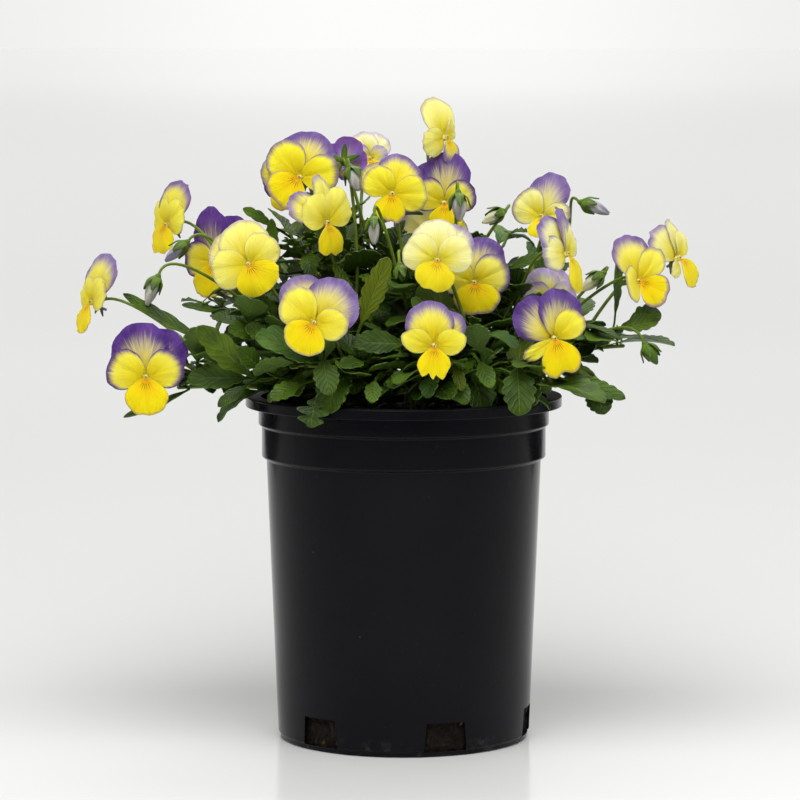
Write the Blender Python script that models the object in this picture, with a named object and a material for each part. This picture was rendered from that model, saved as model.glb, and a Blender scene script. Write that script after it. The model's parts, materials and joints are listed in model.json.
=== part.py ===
"""Potted horned violet: a nursery pot of potting mix with a clump of leafy stems, blooms and buds.

The origin is at the centre of the pot's flat underside, +Z is up and the plant's front faces -Y.
Sizes are in millimetres until a mesh is made, and angles are in degrees.
"""

import math
import random

import bmesh
import bpy
from mathutils import Matrix, Vector
from mathutils.bvhtree import BVHTree
from mathutils.geometry import delaunay_2d_cdt

MM = 0.001
SEED = 7
UP = Vector((0.0, 0.0, 1.0))

# Gap left between two pieces that touch on the real plant, and the margin kept while it grows
GAP = 0.3
MARGIN = 0.5

# Pot
POT_HEIGHT = 179.5
LIP_RADIUS = 82.5
LIP_DROP = 5.3
COLLAR_RADIUS = 75.8
COLLAR_FOOT = 164.6
BAND_RADIUS = 74.1
BAND_FOOT = 147.7
BODY_TOP_RADIUS = 71.7
BASE_RADIUS = 65.9
FOOT_INSET = 1.0
FOOT_HEIGHT = 2.4
WALL = 1.2
FLOOR = 2.0
POT_SIDES = 30
SHARP_ANGLE = 35.0

# Drainage slots round the foot of the wall
SLOT_COUNT = 6
SLOT_FIRST = -41.0
SLOT_WIDTH_TOP = 20.5
SLOT_WIDTH_FOOT = 23.0
SLOT_FOOT = 2.6
SLOT_TOP = 17.5
SLOT_INSIDE = 52.0
SLOT_OUTSIDE = 72.0

# Potting mix
MIX_EDGE = 167.5
MIX_CROWN = 172.0
MIX_SHOULDER = 46.0
HOLE_RADIUS = 2.3
HOLE_DEPTH = 9.0
HOLE_SIDES = 6

# Stems and the flower stalks that grow from them
STEM_RADIUS = 1.6
STEM_SIDES = 4
STEM_STEPS = 4
STEM_TAPER = 0.4
STEM_SPREAD = 1.15
STEM_RISE = 0.62
STEM_BOW = 8.0
STALK_RADIUS = 0.85
STALK_SIDES = 3
STALK_STEPS = 4
STALK_TRIES = 60
STALK_REACH = 6.0
STALK_SWING = 0.6
LEAST_ALIGNMENT = 0.4

# Where each stem leaves the mix (x, y) and where it ends (x, y, z)
STEMS = (
    ((-44, -12), (-116, -30, 186)),
    ((-38, 8), (-106, 4, 226)),
    ((-30, -27), (-80, -38, 216)),
    ((-14, -42), (-48, -62, 200)),
    ((-20, -6), (-50, -6, 256)),
    ((-8, 18), (-24, 26, 258)),
    ((5, -14), (0, -14, 246)),
    ((10, -46), (16, -68, 196)),
    ((24, -28), (34, -42, 218)),
    ((22, 2), (32, 0, 246)),
    ((42, -10), (70, 8, 232)),
    ((36, -38), (74, -54, 190)),
    ((47, 12), (114, -12, 206)),
    ((-30, 34), (-76, 52, 222)),
    ((2, 44), (0, 80, 222)),
    ((34, 34), (72, 52, 224)),
)

# Blooms: throat (x, y, z), width, the way it faces (azimuth from the front, lift), roll, stem, tint
BLOOMS = {
    "bloom_01": ((-162, -5, 228), 37, -62, 6, 0, 0, "lemon"),
    "bloom_02": ((-131, -48, 193), 42, 0, 0, 0, 0, "lemon"),
    "bloom_03": ((-124, 15, 267), 36, -58, 4, 0, 1, "lemon"),
    "bloom_04": ((-99, 24, 247), 42, -26, 0, 0, 1, "lemon"),
    "bloom_05": ((-79, -42, 250), 38, 0, 5, 33, 2, "cream"),
    "bloom_06": ((-54, -8, 293), 42, -8, 8, -28, 4, "lemon"),
    "bloom_07": ((-39, -40, 271), 36, 44, 0, 0, 4, "lemon"),
    "bloom_08": ((-31, 14, 299), 25, 175, -5, 0, 5, "lilac"),
    "bloom_09": ((-18, 40, 301), 26, 6, 10, 0, 5, "cream"),
    "bloom_10": ((-6, -22, 285), 35, 5, 4, -16, 6, "lemon"),
    "bloom_11": ((22, 10, 313), 31, 66, 5, 0, 9, "cream"),
    "bloom_12": ((-62, 34, 287), 30, -30, 0, 10, 5, "lemon"),
    "bloom_13": ((21, 4, 279), 36, 4, 0, 0, 9, "lemon"),
    "bloom_14": ((17, -60, 253), 36, 0, 2, -4, 8, "cream"),
    "bloom_15": ((36, -32, 240), 38, 4, 0, 4, 8, "lemon"),
    "bloom_16": ((15, -86, 212), 34, 4, -4, 4, 7, "lemon"),
    "bloom_17": ((-45, -80, 223), 43, -4, 2, -22, 3, "lemon"),
    "bloom_18": ((72, 8, 272), 36, -24, 12, 10, 10, "lemon"),
    "bloom_19": ((83, -38, 255), 40, 68, 10, 0, 10, "cream"),
    "bloom_20": ((76, -64, 214), 38, 10, 0, 10, 11, "lemon"),
    "bloom_21": ((76, -8, 228), 30, 12, 0, 0, 11, "lilac"),
    "bloom_22": ((121, -20, 240), 36, 16, 4, 30, 12, "lemon"),
    "bloom_23": ((144, 12, 250), 34, 56, 12, 18, 12, "cream"),
    "bloom_24": ((-92, 60, 242), 37, -145, 5, 0, 13, "lemon"),
    "bloom_25": ((-42, 88, 246), 38, -170, 0, 0, 13, "lemon"),
    "bloom_26": ((16, 96, 256), 40, 172, 4, 0, 14, "lemon"),
    "bloom_27": ((90, 62, 208), 36, 118, 8, 0, 15, "lemon"),
}

# Coloured buds: root of the petals (x, y, z), length, thickness, the way it points, stem, tint
BUDS = {
    "bud_01": ((-114, -4, 258), 13, 5.5, -80, -38, 1, "slate"),
    "bud_02": ((-127, -24, 241), 14, 6.0, -60, -62, 1, "lilac"),
    "bud_03": ((28, -24, 284), 13, 7.5, 10, -76, 9, "slate"),
    "bud_04": ((94, 4, 279), 14, 6.0, 84, -18, 10, "slate"),
    "bud_05": ((-27, -14, 297), 12, 7.0, 40, -56, 4, "lilac"),
    "bud_06": ((-15, -46, 273), 13, 5.5, 0, -66, 6, "lilac"),
    "bud_07": ((50, -14, 275), 12, 5.5, -60, -20, 9, "pale"),
    "bud_08": ((102, -6, 242), 13, 6.0, -72, -32, 12, "pale"),
}

# Seed pods, which are green and one with their stem: place, length, thickness, direction, stem
PODS = (
    ((124, -26, 208), 12, 6.5, 60, -55, 12),
    ((-2, -52, 250), 9, 5.0, 20, -60, 6),
    ((50, 84, 240), 10, 6.0, 160, -50, 14),
)

# Petals in three layers, back to front, as shares of the bloom's width about its throat:
# outline, points inside it, height of the layer at the throat, and how far it leans forward
# for each millimetre upwards, outwards and to the right
UPPER_PAIR = (
    ((-0.10, -0.09), (0.10, -0.09), (0.42, 0.09), (0.50, 0.33), (0.29, 0.57), (0.0, 0.50)),
    ((0.23, 0.30),),
    -1.5,
    (-0.08, 0.0, 0.05),
)
SIDE_PAIR = (
    ((0.0, -0.10), (0.41, -0.11), (0.50, 0.09), (0.37, 0.26), (0.15, 0.21), (0.0, 0.07)),
    ((0.28, 0.07),),
    -0.3,
    (0.0, 0.10, 0.0),
)
LOWER = (
    ((0.0, -0.43), (0.14, -0.49), (0.27, -0.37), (0.20, -0.19), (0.09, 0.06)),
    ((0.0, -0.26),),
    1.3,
    (-0.30, 0.0, 0.0),
)
PETAL_THICKNESS = 0.7
PETAL_UNEVEN = 0.05

# Heart of the bloom, with its spur, and the calyx behind it
HUB_RADIUS = 1.9
HUB_FRONT = 2.3
HUB_BACK = -3.4
SPUR = ((-1.2, -2.0), (-3.6, -8.5))
SPUR_RADIUS = (0.9, 0.75)
SEPALS = 5
SEPAL_REACH = 7.5
SEPAL_NOTCH = 1.7
CALYX_DEPTH = 2.2
CALYX_LIFT = 1.4
OPEN_CALYX = -0.4
CUPPED_CALYX = 3.0

# Thickness of a bud along its length, as shares of its length and thickness
BUD_PROFILE = ((0.0, 0.10), (0.30, 0.50), (0.65, 0.42), (1.0, 0.14))
BUD_SIDES = 5

# Leaves
LEAF_THICKNESS = 0.8
LEAF_STALK_WIDTH = 1.3
LEAF_STALK_SHARE = 0.24
LEAF_FOLD = 0.22
TOOTH_CREST = 0.45
TOOTH_NOTCH = 0.92
NOTCH_DEPTH = 0.82
LEAF_REACH = 8.0
LEAF_TRIES = 16
LEAVES_PER_STEM = 4
LOWEST_LEAF = 0.14
SMALL_LEAF = 36.0
GOLDEN_ANGLE = 137.5

# Leaves set by hand: stem, share of its height, azimuth from the front, rise, length, width,
# droop, twist and teeth on a side
SET_LEAVES = (
    (8, 0.55, -50, 66, 46, 19, 20, 70, 4),
    (8, 0.30, 22, 35, 44, 20, 118, 0, 4),
    (7, 0.85, -40, 30, 30, 17, 70, 10, 3),
    (7, 0.60, -75, 40, 34, 17, 60, 15, 3),
    (3, 0.55, -14, 20, 40, 19, 118, 0, 4),
    (3, 0.60, -72, 34, 54, 24, 24, -40, 4),
    (2, 0.55, -84, 12, 46, 20, 30, 0, 4),
    (0, 0.50, -70, 8, 40, 17, 62, 0, 3),
    (0, 0.75, -88, 2, 44, 12, 14, 0, 3),
    (11, 0.75, 58, 12, 50, 20, 40, 12, 4),
    (12, 0.90, 70, 20, 40, 20, 34, 0, 4),
    (12, 0.80, 96, 24, 34, 15, 30, 0, 3),
    (10, 0.85, 84, 70, 44, 12, 8, 40, 3),
    (9, 0.85, 30, 52, 32, 22, 30, 50, 3),
    (4, 0.80, -60, 78, 44, 15, 8, 60, 3),
    (4, 0.70, -88, 42, 36, 13, 50, 0, 3),
    (0, 0.34, -75, 14, 44, 18, 40, 0, 3),
    (2, 0.30, -66, 16, 42, 17, 76, 0, 3),
    (1, 0.60, -86, 24, 46, 15, 14, 30, 3),
    (8, 0.62, 48, 44, 40, 15, 84, 0, 3),
    (7, 0.30, 12, 34, 38, 15, 104, 0, 3),
    (7, 0.45, -34, 46, 34, 18, 70, 0, 3),
    (10, 0.90, -34, 62, 34, 16, 30, 0, 3),
)


def clear_scene():
    """Starts from nothing."""
    for found in list(bpy.data.objects):
        bpy.data.objects.remove(found, do_unlink=True)


def material(name, colour, roughness):
    """A plain surface of one colour."""
    made = bpy.data.materials.new(name)
    made.use_nodes = True
    shader = made.node_tree.nodes["Principled BSDF"]
    shader.inputs["Base Color"].default_value = (*colour, 1.0)
    shader.inputs["Roughness"].default_value = roughness
    shader.inputs["Metallic"].default_value = 0.0
    made.diffuse_color = (*colour, 1.0)
    return made


# A body is a list of points and a list of faces, closed and facing out


def tube(points, radii, sides, side=None):
    """A closed tube through the points, flat at both ends; side is where its first edge lies."""
    verts = []
    faces = []
    last = len(points) - 1
    for i, point in enumerate(points):
        ahead = (points[min(i + 1, last)] - points[max(i - 1, 0)]).normalized()
        if side is None:
            side = ahead.orthogonal().normalized()
        else:
            side = (side - ahead * side.dot(ahead)).normalized()
        across = ahead.cross(side)
        for k in range(sides):
            turn = math.tau * k / sides
            verts.append(point + (side * math.cos(turn) + across * math.sin(turn)) * radii[i])
    for i in range(last):
        for k in range(sides):
            a = i * sides + k
            b = i * sides + (k + 1) % sides
            faces.append((a, b, b + sides, a + sides))
    faces.append(tuple(reversed(range(sides))))
    faces.append(tuple(range(last * sides, (last + 1) * sides)))
    return verts, faces


def slab(points, normals, triangles, border, thickness):
    """A blade: the same triangles on both faces, and a wall round the border."""
    count = len(points)
    half = thickness / 2
    verts = [p + n * half for p, n in zip(points, normals)]
    verts += [p - n * half for p, n in zip(points, normals)]
    faces = list(triangles)
    faces += [(c + count, b + count, a + count) for a, b, c in triangles]
    for i, a in enumerate(border):
        b = border[(i + 1) % len(border)]
        faces.append((a + count, b + count, b))
        faces.append((a + count, b, a))
    return verts, faces


def zip_rows(ribs, edge, along):
    """Triangles between the line of ribs and the edge to its right, which end at the same tip."""
    made = []
    i = 0
    j = 0
    while i < len(ribs) - 1 or j < len(edge) - 1:
        step_edge = j < len(edge) - 1 and (
            i == len(ribs) - 1 or along[edge[j + 1]] <= along[ribs[i + 1]]
        )
        if step_edge and not (j == len(edge) - 2 and i < len(ribs) - 1):
            made.append((ribs[i], edge[j], edge[j + 1]))
            j += 1
        elif i < len(ribs) - 2:
            made.append((ribs[i], edge[j], ribs[i + 1]))
            i += 1
        else:
            made.append((ribs[i], edge[j], edge[j + 1]))
            j += 1
            if j == len(edge) - 1:
                break
    return made


def blade(edge, ribs, tip, place, thickness):
    """A closed blade with the same outline on both sides of its rib.

    edge: (along, across) pairs from root to tip, the first two on its stalk; ribs: places along the
    middle; place: a function that gives the point and the normal for (across, along).
    """
    rows = len(edge)
    spots = [(-across, along) for along, across in edge]
    spots += [(across, along) for along, across in edge]
    spots += [(0.0, along) for along in ribs]
    spots.append((0.0, tip))
    left = list(range(rows))
    right = list(range(rows, 2 * rows))
    middle = list(range(2 * rows, 2 * rows + len(ribs)))
    end = len(spots) - 1
    along = [spot[1] for spot in spots]
    triangles = [
        (left[0], right[0], right[1]),
        (left[0], right[1], left[1]),
        (left[1], right[1], middle[0]),
    ]
    for a, b, c in zip_rows(middle + [end], right[1:] + [end], along):
        triangles.append((a, b, c))
    for a, b, c in zip_rows(middle + [end], left[1:] + [end], along):
        triangles.append((a, c, b))
    placed = [place(across, s) for across, s in spots]
    border = right + [end] + left[::-1]
    return slab([p for p, n in placed], [n for p, n in placed], triangles, border, thickness)


def swollen(body, margin):
    """The body with its points moved out by the margin."""
    verts, faces = body
    normals = [Vector() for _ in verts]
    for face in faces:
        a, b, c = (verts[face[0]], verts[face[1]], verts[face[2]])
        normal = (b - a).cross(c - a)
        if normal.length > 0:
            normal.normalize()
        for index in face:
            normals[index] += normal
    return [v + n.normalized() * margin for v, n in zip(verts, normals)], faces


class Garden:
    """What stands already, so that whatever grows next keeps clear of it."""

    def __init__(self):
        self.standing = []
        self.nodes = {}

    def add(self, owner, body):
        """Plants a body, and notes the node that it belongs to."""
        verts, faces = body
        low = [min(v[i] for v in verts) for i in range(3)]
        high = [max(v[i] for v in verts) for i in range(3)]
        self.standing.append((owner, low, high, BVHTree.FromPolygons(verts, faces)))
        self.nodes.setdefault(owner, []).append(body)

    def is_clear(self, owner, body, root, reach):
        """True if the body meets nothing; within reach of its root it may meet its own node."""
        verts, faces = swollen(body, MARGIN)
        low = [min(v[i] for v in verts) for i in range(3)]
        high = [max(v[i] for v in verts) for i in range(3)]
        tree = BVHTree.FromPolygons(verts, faces)
        far = [f for f in faces if all((verts[k] - root).length > reach for k in f)]
        outer = BVHTree.FromPolygons(verts, far) if far else None
        for other, other_low, other_high, standing in self.standing:
            if any(low[i] > other_high[i] or high[i] < other_low[i] for i in range(3)):
                continue
            mine = outer if other == owner else tree
            if mine and mine.overlap(standing):
                return False
        return True


def facing(azimuth, lift, roll):
    """The turn that points local +Z along the azimuth and lift, with local +Y upright."""
    upright = Matrix(((1, 0, 0), (0, 0, -1), (0, 1, 0)))
    turn = Matrix.Rotation(math.radians(azimuth), 3, "Z")
    tilt = Matrix.Rotation(math.radians(-lift), 3, "X")
    spin = Matrix.Rotation(math.radians(roll), 3, "Z")
    return turn @ upright @ tilt @ spin


def stem_curve(root, tip, share):
    """A point on a stem: straight out of the mix, then bowed out to its tip."""
    start = Vector((root[0], root[1], MIX_CROWN))
    end = Vector(tip)
    height = MIX_CROWN + STEM_RISE * (end.z - MIX_CROWN) + STEM_BOW
    bend = Vector((root[0] * STEM_SPREAD, root[1] * STEM_SPREAD, height))
    a = start.lerp(bend, share)
    b = bend.lerp(end, share)
    return a.lerp(b, share)


def stem_body(root, tip):
    """The stem's tube, from the bottom of its hole in the mix to its tip."""
    hole_floor = mix_height(math.hypot(*root)) - HOLE_DEPTH
    points = [Vector((root[0], root[1], hole_floor + GAP))]
    points += [stem_curve(root, tip, i / STEM_STEPS) for i in range(STEM_STEPS + 1)]
    count = len(points)
    radii = [STEM_RADIUS * (1 - STEM_TAPER * i / (count - 1)) for i in range(count)]
    return tube(points, radii, STEM_SIDES)


def mix_height(radius):
    """Height of the mounded top of the potting mix."""
    return MIX_CROWN + (MIX_EDGE - MIX_CROWN) * (radius / BAND_RADIUS) ** 2


def petal_plate(place, turn, width, form, draw):
    """One layer of petals: a plate split into triangles alike on both faces."""
    half_outline, half_inner, layer, (upwards, outwards, rightwards) = form
    mirrored = [(-x, y) for x, y in reversed(half_outline) if x > 0.0]
    outline = list(half_outline) + [p for p in mirrored if p != half_outline[0]]
    inner = list(half_inner) + [(-x, y) for x, y in half_inner if x > 0.0]
    low = 1 - PETAL_UNEVEN
    high = 1 + PETAL_UNEVEN
    flat = [
        Vector((x * draw.uniform(low, high), y * draw.uniform(low, high))) * width
        for x, y in outline + inner
    ]
    loop = list(range(len(outline)))
    triangles = delaunay_2d_cdt(flat, [], [loop], 1, 1e-6)[2]
    placed = []
    for spot in flat:
        height = layer + upwards * spot.y + outwards * abs(spot.x) + rightwards * spot.x
        placed.append(place + turn @ Vector((spot.x, spot.y, height)))
    normal = turn @ Vector((0.0, 0.0, 1.0))
    return slab(placed, [normal] * len(placed), triangles, loop, PETAL_THICKNESS)


def bloom_bodies(place, width, turn, draw):
    """The petals in their layers, the heart and the spur of one bloom."""
    bodies = [petal_plate(place, turn, width, form, draw) for form in (UPPER_PAIR, SIDE_PAIR, LOWER)]
    axis = turn @ Vector((0.0, 0.0, 1.0))
    ends = [place + axis * HUB_BACK, place + axis * HUB_FRONT]
    down = turn @ Vector((0.0, -1.0, 0.0))
    bodies.append(tube(ends, [HUB_RADIUS] * 2, 3, down))
    spur = [place + turn @ Vector((0.0, y, z)) for y, z in SPUR]
    bodies.append(tube(spur, SPUR_RADIUS, 4, down))
    return bodies


def stalk_points(start, end, axis, rise, sideways):
    """The route of a flower stalk that climbs from its stem and hooks over into the calyx."""
    climb = (end - start).length
    lean = (end - start) * 0.3 + UP * rise * climb + sideways
    hook = end - axis * min(12.0, 0.4 * climb) + UP * min(8.0, 0.25 * climb)
    points = []
    for i in range(STALK_STEPS + 1):
        t = 1 - (1 - i / STALK_STEPS) ** 1.5
        a = start.lerp(start + lean, t)
        b = (start + lean).lerp(hook, t)
        c = hook.lerp(end, t)
        points.append(a.lerp(b, t).lerp(b.lerp(c, t), t))
    return points


def head_body(points, centre, turn, forward):
    """A flower stalk that opens at its end into the calyx, a star of sepals."""
    verts, faces = tube(points, [STALK_RADIUS] * len(points), STALK_SIDES)
    faces.pop()
    first = len(verts)
    inner = list(range(first - STALK_SIDES, first))
    count = 2 * SEPALS
    for i in range(count):
        turned = math.radians(90 + 180 / SEPALS * i)
        reach = SEPAL_NOTCH if i % 2 else SEPAL_REACH
        lift = 0.0 if i % 2 else forward
        verts.append(centre + turn @ Vector((reach * math.cos(turned), reach * math.sin(turned), lift)))
    verts.append(centre)
    outer = list(range(first, first + count))
    faces += bridge(verts, inner, outer, centre, turn)
    faces += [(outer[i], outer[(i + 1) % count], first + count) for i in range(count)]
    return verts, faces


def bridge(verts, inner, outer, centre, turn):
    """Triangles between two rings that both run anticlockwise about the axis."""
    flat = turn.transposed()

    def angle(index):
        local = flat @ (verts[index] - centre)
        return math.atan2(local.y, local.x) % math.tau

    inner = sorted(inner, key=angle)
    outer = sorted(outer, key=angle)
    made = []
    i = 0
    j = 0
    while i < len(inner) or j < len(outer):
        a = inner[i % len(inner)]
        b = outer[j % len(outer)]
        turn_inner = angle(inner[i + 1]) if i + 1 < len(inner) else angle(inner[0]) + math.tau
        turn_outer = angle(outer[j + 1]) if j + 1 < len(outer) else angle(outer[0]) + math.tau
        if j == len(outer) or (i < len(inner) and turn_inner < turn_outer):
            made.append((a, inner[(i + 1) % len(inner)], b))
            i += 1
        else:
            made.append((a, outer[(j + 1) % len(outer)], b))
            j += 1
    return made


def bud_body(place, turn, length, thickness):
    """Furled petals: a spindle that is fullest near its root and blunt at its tip."""
    axis = turn @ Vector((0.0, 0.0, 1.0))
    points = [place + axis * length * along for along, _ in BUD_PROFILE]
    return tube(points, [thickness * share for _, share in BUD_PROFILE], BUD_SIDES)


class Leaf:
    """One leaf: where it grows and the way it heads, rises, droops and twists."""

    def __init__(self, base, azimuth, rise, length, width, droop, twist, teeth):
        self.base = base
        self.rise = math.radians(rise)
        self.length = length
        self.width = width
        self.droop = math.radians(droop)
        self.twist = math.radians(twist)
        self.teeth = teeth
        turned = math.radians(azimuth)
        self.ahead = Vector((math.sin(turned), -math.cos(turned), 0.0))

    def spot(self, across, along):
        """The point and the normal at a place on the leaf."""
        rate = -self.droop / self.length
        pitch = self.rise + rate * along
        if abs(self.droop) < 0.01:
            forward = math.cos(self.rise) * along
            upward = math.sin(self.rise) * along
        else:
            forward = (math.sin(pitch) - math.sin(self.rise)) / rate
            upward = (math.cos(self.rise) - math.cos(pitch)) / rate
        centre = self.base + self.ahead * forward + UP * upward
        heading = self.ahead * math.cos(pitch) + UP * math.sin(pitch)
        flat = UP * math.cos(pitch) - self.ahead * math.sin(pitch)
        side = heading.cross(flat)
        turned = self.twist * min(1.0, 2.5 * along / self.length)
        normal = flat * math.cos(turned) + side * math.sin(turned)
        level = side * math.cos(turned) - flat * math.sin(turned)
        return centre + level * across + normal * (abs(across) * LEAF_FOLD), normal

    def body(self):
        """The closed blade with its stalk and its rounded teeth."""
        stalk = LEAF_STALK_SHARE * self.length
        plate = self.length - stalk
        half_stalk = LEAF_STALK_WIDTH / 2
        edge = [(0.0, half_stalk), (stalk, half_stalk)]
        for tooth in range(self.teeth):
            crest = (tooth + TOOTH_CREST) / self.teeth
            edge.append((stalk + plate * crest, self.half_width(crest)))
            if tooth < self.teeth - 1:
                notch = (tooth + TOOTH_NOTCH) / self.teeth
                edge.append((stalk + plate * notch, NOTCH_DEPTH * self.half_width(notch)))
        ribs = [stalk + plate * share for share in ((0.35, 0.72) if self.teeth > 2 else (0.5,))]
        return blade(edge, ribs, self.length, self.spot, LEAF_THICKNESS)

    def half_width(self, share):
        """Half the width of the blade at a share of its length."""
        return 0.5 * self.width * math.sin(math.pi * share**0.85) ** 0.65


def turned_body(profile, sides):
    """A closed solid turned about Z from a profile that runs from the axis back to the axis."""
    verts = []
    rings = []
    for radius, height in profile:
        if radius == 0.0:
            rings.append([len(verts)] * sides)
            verts.append(Vector((0.0, 0.0, height)))
            continue
        rings.append(list(range(len(verts), len(verts) + sides)))
        for k in range(sides):
            turn = math.tau * k / sides
            verts.append(Vector((radius * math.cos(turn), radius * math.sin(turn), height)))
    faces = []
    for lower, upper in zip(rings, rings[1:]):
        for k in range(sides):
            n = (k + 1) % sides
            loop = []
            for index in (lower[k], lower[n], upper[n], upper[k]):
                if index not in loop:
                    loop.append(index)
            faces.append(tuple(loop))
    return verts, faces


def pot_body():
    """The pot's wall, floor, collars and rolled lip, before its slots are cut."""
    outer = [
        (0.0, 0.0),
        (BASE_RADIUS - FOOT_INSET, 0.0),
        (BASE_RADIUS - FOOT_INSET, FOOT_HEIGHT),
        (BASE_RADIUS, FOOT_HEIGHT + 0.8),
        (BODY_TOP_RADIUS, BAND_FOOT - 0.8),
        (BAND_RADIUS, BAND_FOOT),
        (BAND_RADIUS, COLLAR_FOOT - 0.6),
        (COLLAR_RADIUS, COLLAR_FOOT),
        (COLLAR_RADIUS, POT_HEIGHT - 1.7),
        (LIP_RADIUS - WALL, POT_HEIGHT - 1.7),
        (LIP_RADIUS - WALL, POT_HEIGHT - LIP_DROP),
        (LIP_RADIUS, POT_HEIGHT - LIP_DROP),
        (LIP_RADIUS, POT_HEIGHT - 1.2),
        (LIP_RADIUS - 0.9, POT_HEIGHT),
    ]
    inner = [
        (COLLAR_RADIUS - WALL, POT_HEIGHT),
        (COLLAR_RADIUS - WALL, COLLAR_FOOT + 1.2),
        (BAND_RADIUS - WALL, COLLAR_FOOT + 0.5),
        (BAND_RADIUS - WALL, BAND_FOOT + 1.4),
        (BODY_TOP_RADIUS - WALL, BAND_FOOT + 0.6),
        (BASE_RADIUS - WALL, FLOOR),
        (0.0, FLOOR),
    ]
    return turned_body(outer + inner, POT_SIDES)


def slot_bodies():
    """Wedges that cut the drainage slots, wider at the foot."""
    bodies = []
    for i in range(SLOT_COUNT):
        turned = math.radians(SLOT_FIRST + 360 / SLOT_COUNT * i)
        out = Vector((math.sin(turned), -math.cos(turned), 0.0))
        side = Vector((math.cos(turned), math.sin(turned), 0.0))
        verts = []
        for height, width in ((SLOT_FOOT, SLOT_WIDTH_FOOT), (SLOT_TOP, SLOT_WIDTH_TOP)):
            corners = ((SLOT_INSIDE, -1), (SLOT_OUTSIDE, -1), (SLOT_OUTSIDE, 1), (SLOT_INSIDE, 1))
            for reach, way in corners:
                verts.append(out * reach + side * way * width / 2 + UP * height)
        faces = [(3, 2, 1, 0), (4, 5, 6, 7)]
        faces += [(k, (k + 1) % 4, (k + 1) % 4 + 4, k + 4) for k in range(4)]
        bodies.append((verts, faces))
    return bodies


def mix_body():
    """The potting mix, which fills the pot and keeps a thin gap to its wall and floor."""
    profile = [
        (0.0, FLOOR + GAP),
        (BASE_RADIUS - WALL - 2 * GAP, FLOOR + GAP),
        (BODY_TOP_RADIUS - WALL - GAP, BAND_FOOT + 1.2),
        (BAND_RADIUS - WALL - GAP, BAND_FOOT + 2.1),
        (BAND_RADIUS - WALL - GAP, mix_height(BAND_RADIUS - WALL)),
        (MIX_SHOULDER, mix_height(MIX_SHOULDER)),
        (0.0, MIX_CROWN),
    ]
    return turned_body(profile, POT_SIDES)


def hole_bodies():
    """Plain holes that the stems stand in."""
    bodies = []
    for (x, y), _ in STEMS:
        floor = mix_height(math.hypot(x, y)) - HOLE_DEPTH
        ends = [Vector((x, y, floor)), Vector((x, y, floor + 2 * HOLE_DEPTH))]
        bodies.append(tube(ends, [HOLE_RADIUS] * 2, HOLE_SIDES))
    return bodies


def stem_name(stem):
    """The node that a stem and what grows from it belong to."""
    return f"leafy_stem_{stem + 1:02d}"


def open_blooms(garden, draw):
    """Plants the blooms, and returns the calyx that each needs: stem, centre, turn and lift."""
    heads = []
    for name, (place, width, azimuth, lift, roll, stem, _) in BLOOMS.items():
        turn = facing(azimuth, lift, roll)
        place = Vector(place)
        for body in bloom_bodies(place, width, turn, draw):
            garden.add(name, body)
        centre = place + turn @ Vector((0.0, CALYX_LIFT, HUB_BACK - GAP))
        heads.append((stem, centre, turn, OPEN_CALYX))
    return heads


def set_buds(garden):
    """Plants the coloured buds and the seed pods, and returns the calyx that each needs."""
    heads = []
    for name, (place, length, thickness, azimuth, lift, stem, _) in BUDS.items():
        turn = facing(azimuth, lift, 0)
        place = Vector(place)
        garden.add(name, bud_body(place, turn, length, thickness))
        heads.append((stem, place - turn @ Vector((0.0, 0.0, 2 * GAP)), turn, CUPPED_CALYX))
    for place, length, thickness, azimuth, lift, stem in PODS:
        turn = facing(azimuth, lift, 0)
        place = Vector(place)
        garden.add(stem_name(stem), bud_body(place, turn, length, thickness))
        heads.append((stem, place + turn @ Vector((0.0, 0.0, 1.0)), turn, CUPPED_CALYX))
    return heads


def raise_stalk(garden, draw, stem, centre, turn, forward):
    """Grows one flower stalk with its calyx, swinging it out further until it is clear."""
    axis = turn @ Vector((0.0, 0.0, 1.0))
    for attempt in range(STALK_TRIES):
        start = stem_curve(*STEMS[stem], draw.uniform(0.35, 0.95))
        swing = STALK_SWING * attempt
        sideways = Vector((draw.uniform(-1, 1), draw.uniform(-1, 1), 0.0)) * swing
        rise = draw.uniform(0.05, 0.25)
        points = stalk_points(start, centre - axis * CALYX_DEPTH, axis, rise, sideways)
        if (points[-1] - points[-2]).normalized().dot(axis) < LEAST_ALIGNMENT:
            continue
        stalk = tube(points, [STALK_RADIUS] * len(points), STALK_SIDES)
        if garden.is_clear(stem_name(stem), stalk, start, STALK_REACH):
            break
    garden.add(stem_name(stem), head_body(points, centre, turn, forward))


def set_leaf(garden, draw, row):
    """Grows one leaf near where its row sets it."""
    stem, share, azimuth, rise, length, width, droop, twist, teeth = row
    base = stem_curve(*STEMS[stem], share)
    for attempt in range(2 * LEAF_TRIES):
        slack = 3.0 * attempt
        size = 1 - 0.01 * attempt
        leaf = Leaf(
            base,
            azimuth + draw.uniform(-1, 1) * slack,
            rise + draw.uniform(-0.5, 0.5) * slack,
            length * size,
            width * size,
            droop,
            twist + draw.uniform(-1, 1) * slack,
            teeth,
        )
        if plant_leaf(garden, stem, leaf):
            return True
    return False


def grow_leaf(garden, draw, stem, share, turned):
    """Grows one leaf, smaller at each try, where there is room for it."""
    base = stem_curve(*STEMS[stem], share)
    for attempt in range(LEAF_TRIES):
        length = draw.uniform(26, 40) * (1 - 0.025 * attempt)
        leaf = Leaf(
            base,
            turned + draw.uniform(-1, 1) * (10 + 12 * attempt),
            draw.uniform(15, 65),
            length,
            length * draw.uniform(0.42, 0.56),
            draw.uniform(20, 80),
            draw.uniform(-25, 25),
            3 if length > SMALL_LEAF else 2,
        )
        if plant_leaf(garden, stem, leaf):
            return True
    return False


def plant_leaf(garden, stem, leaf):
    """Adds the leaf to its stem if it is clear of everything else."""
    body = leaf.body()
    if not garden.is_clear(stem_name(stem), body, leaf.base, LEAF_REACH):
        return False
    garden.add(stem_name(stem), body)
    return True


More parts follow.
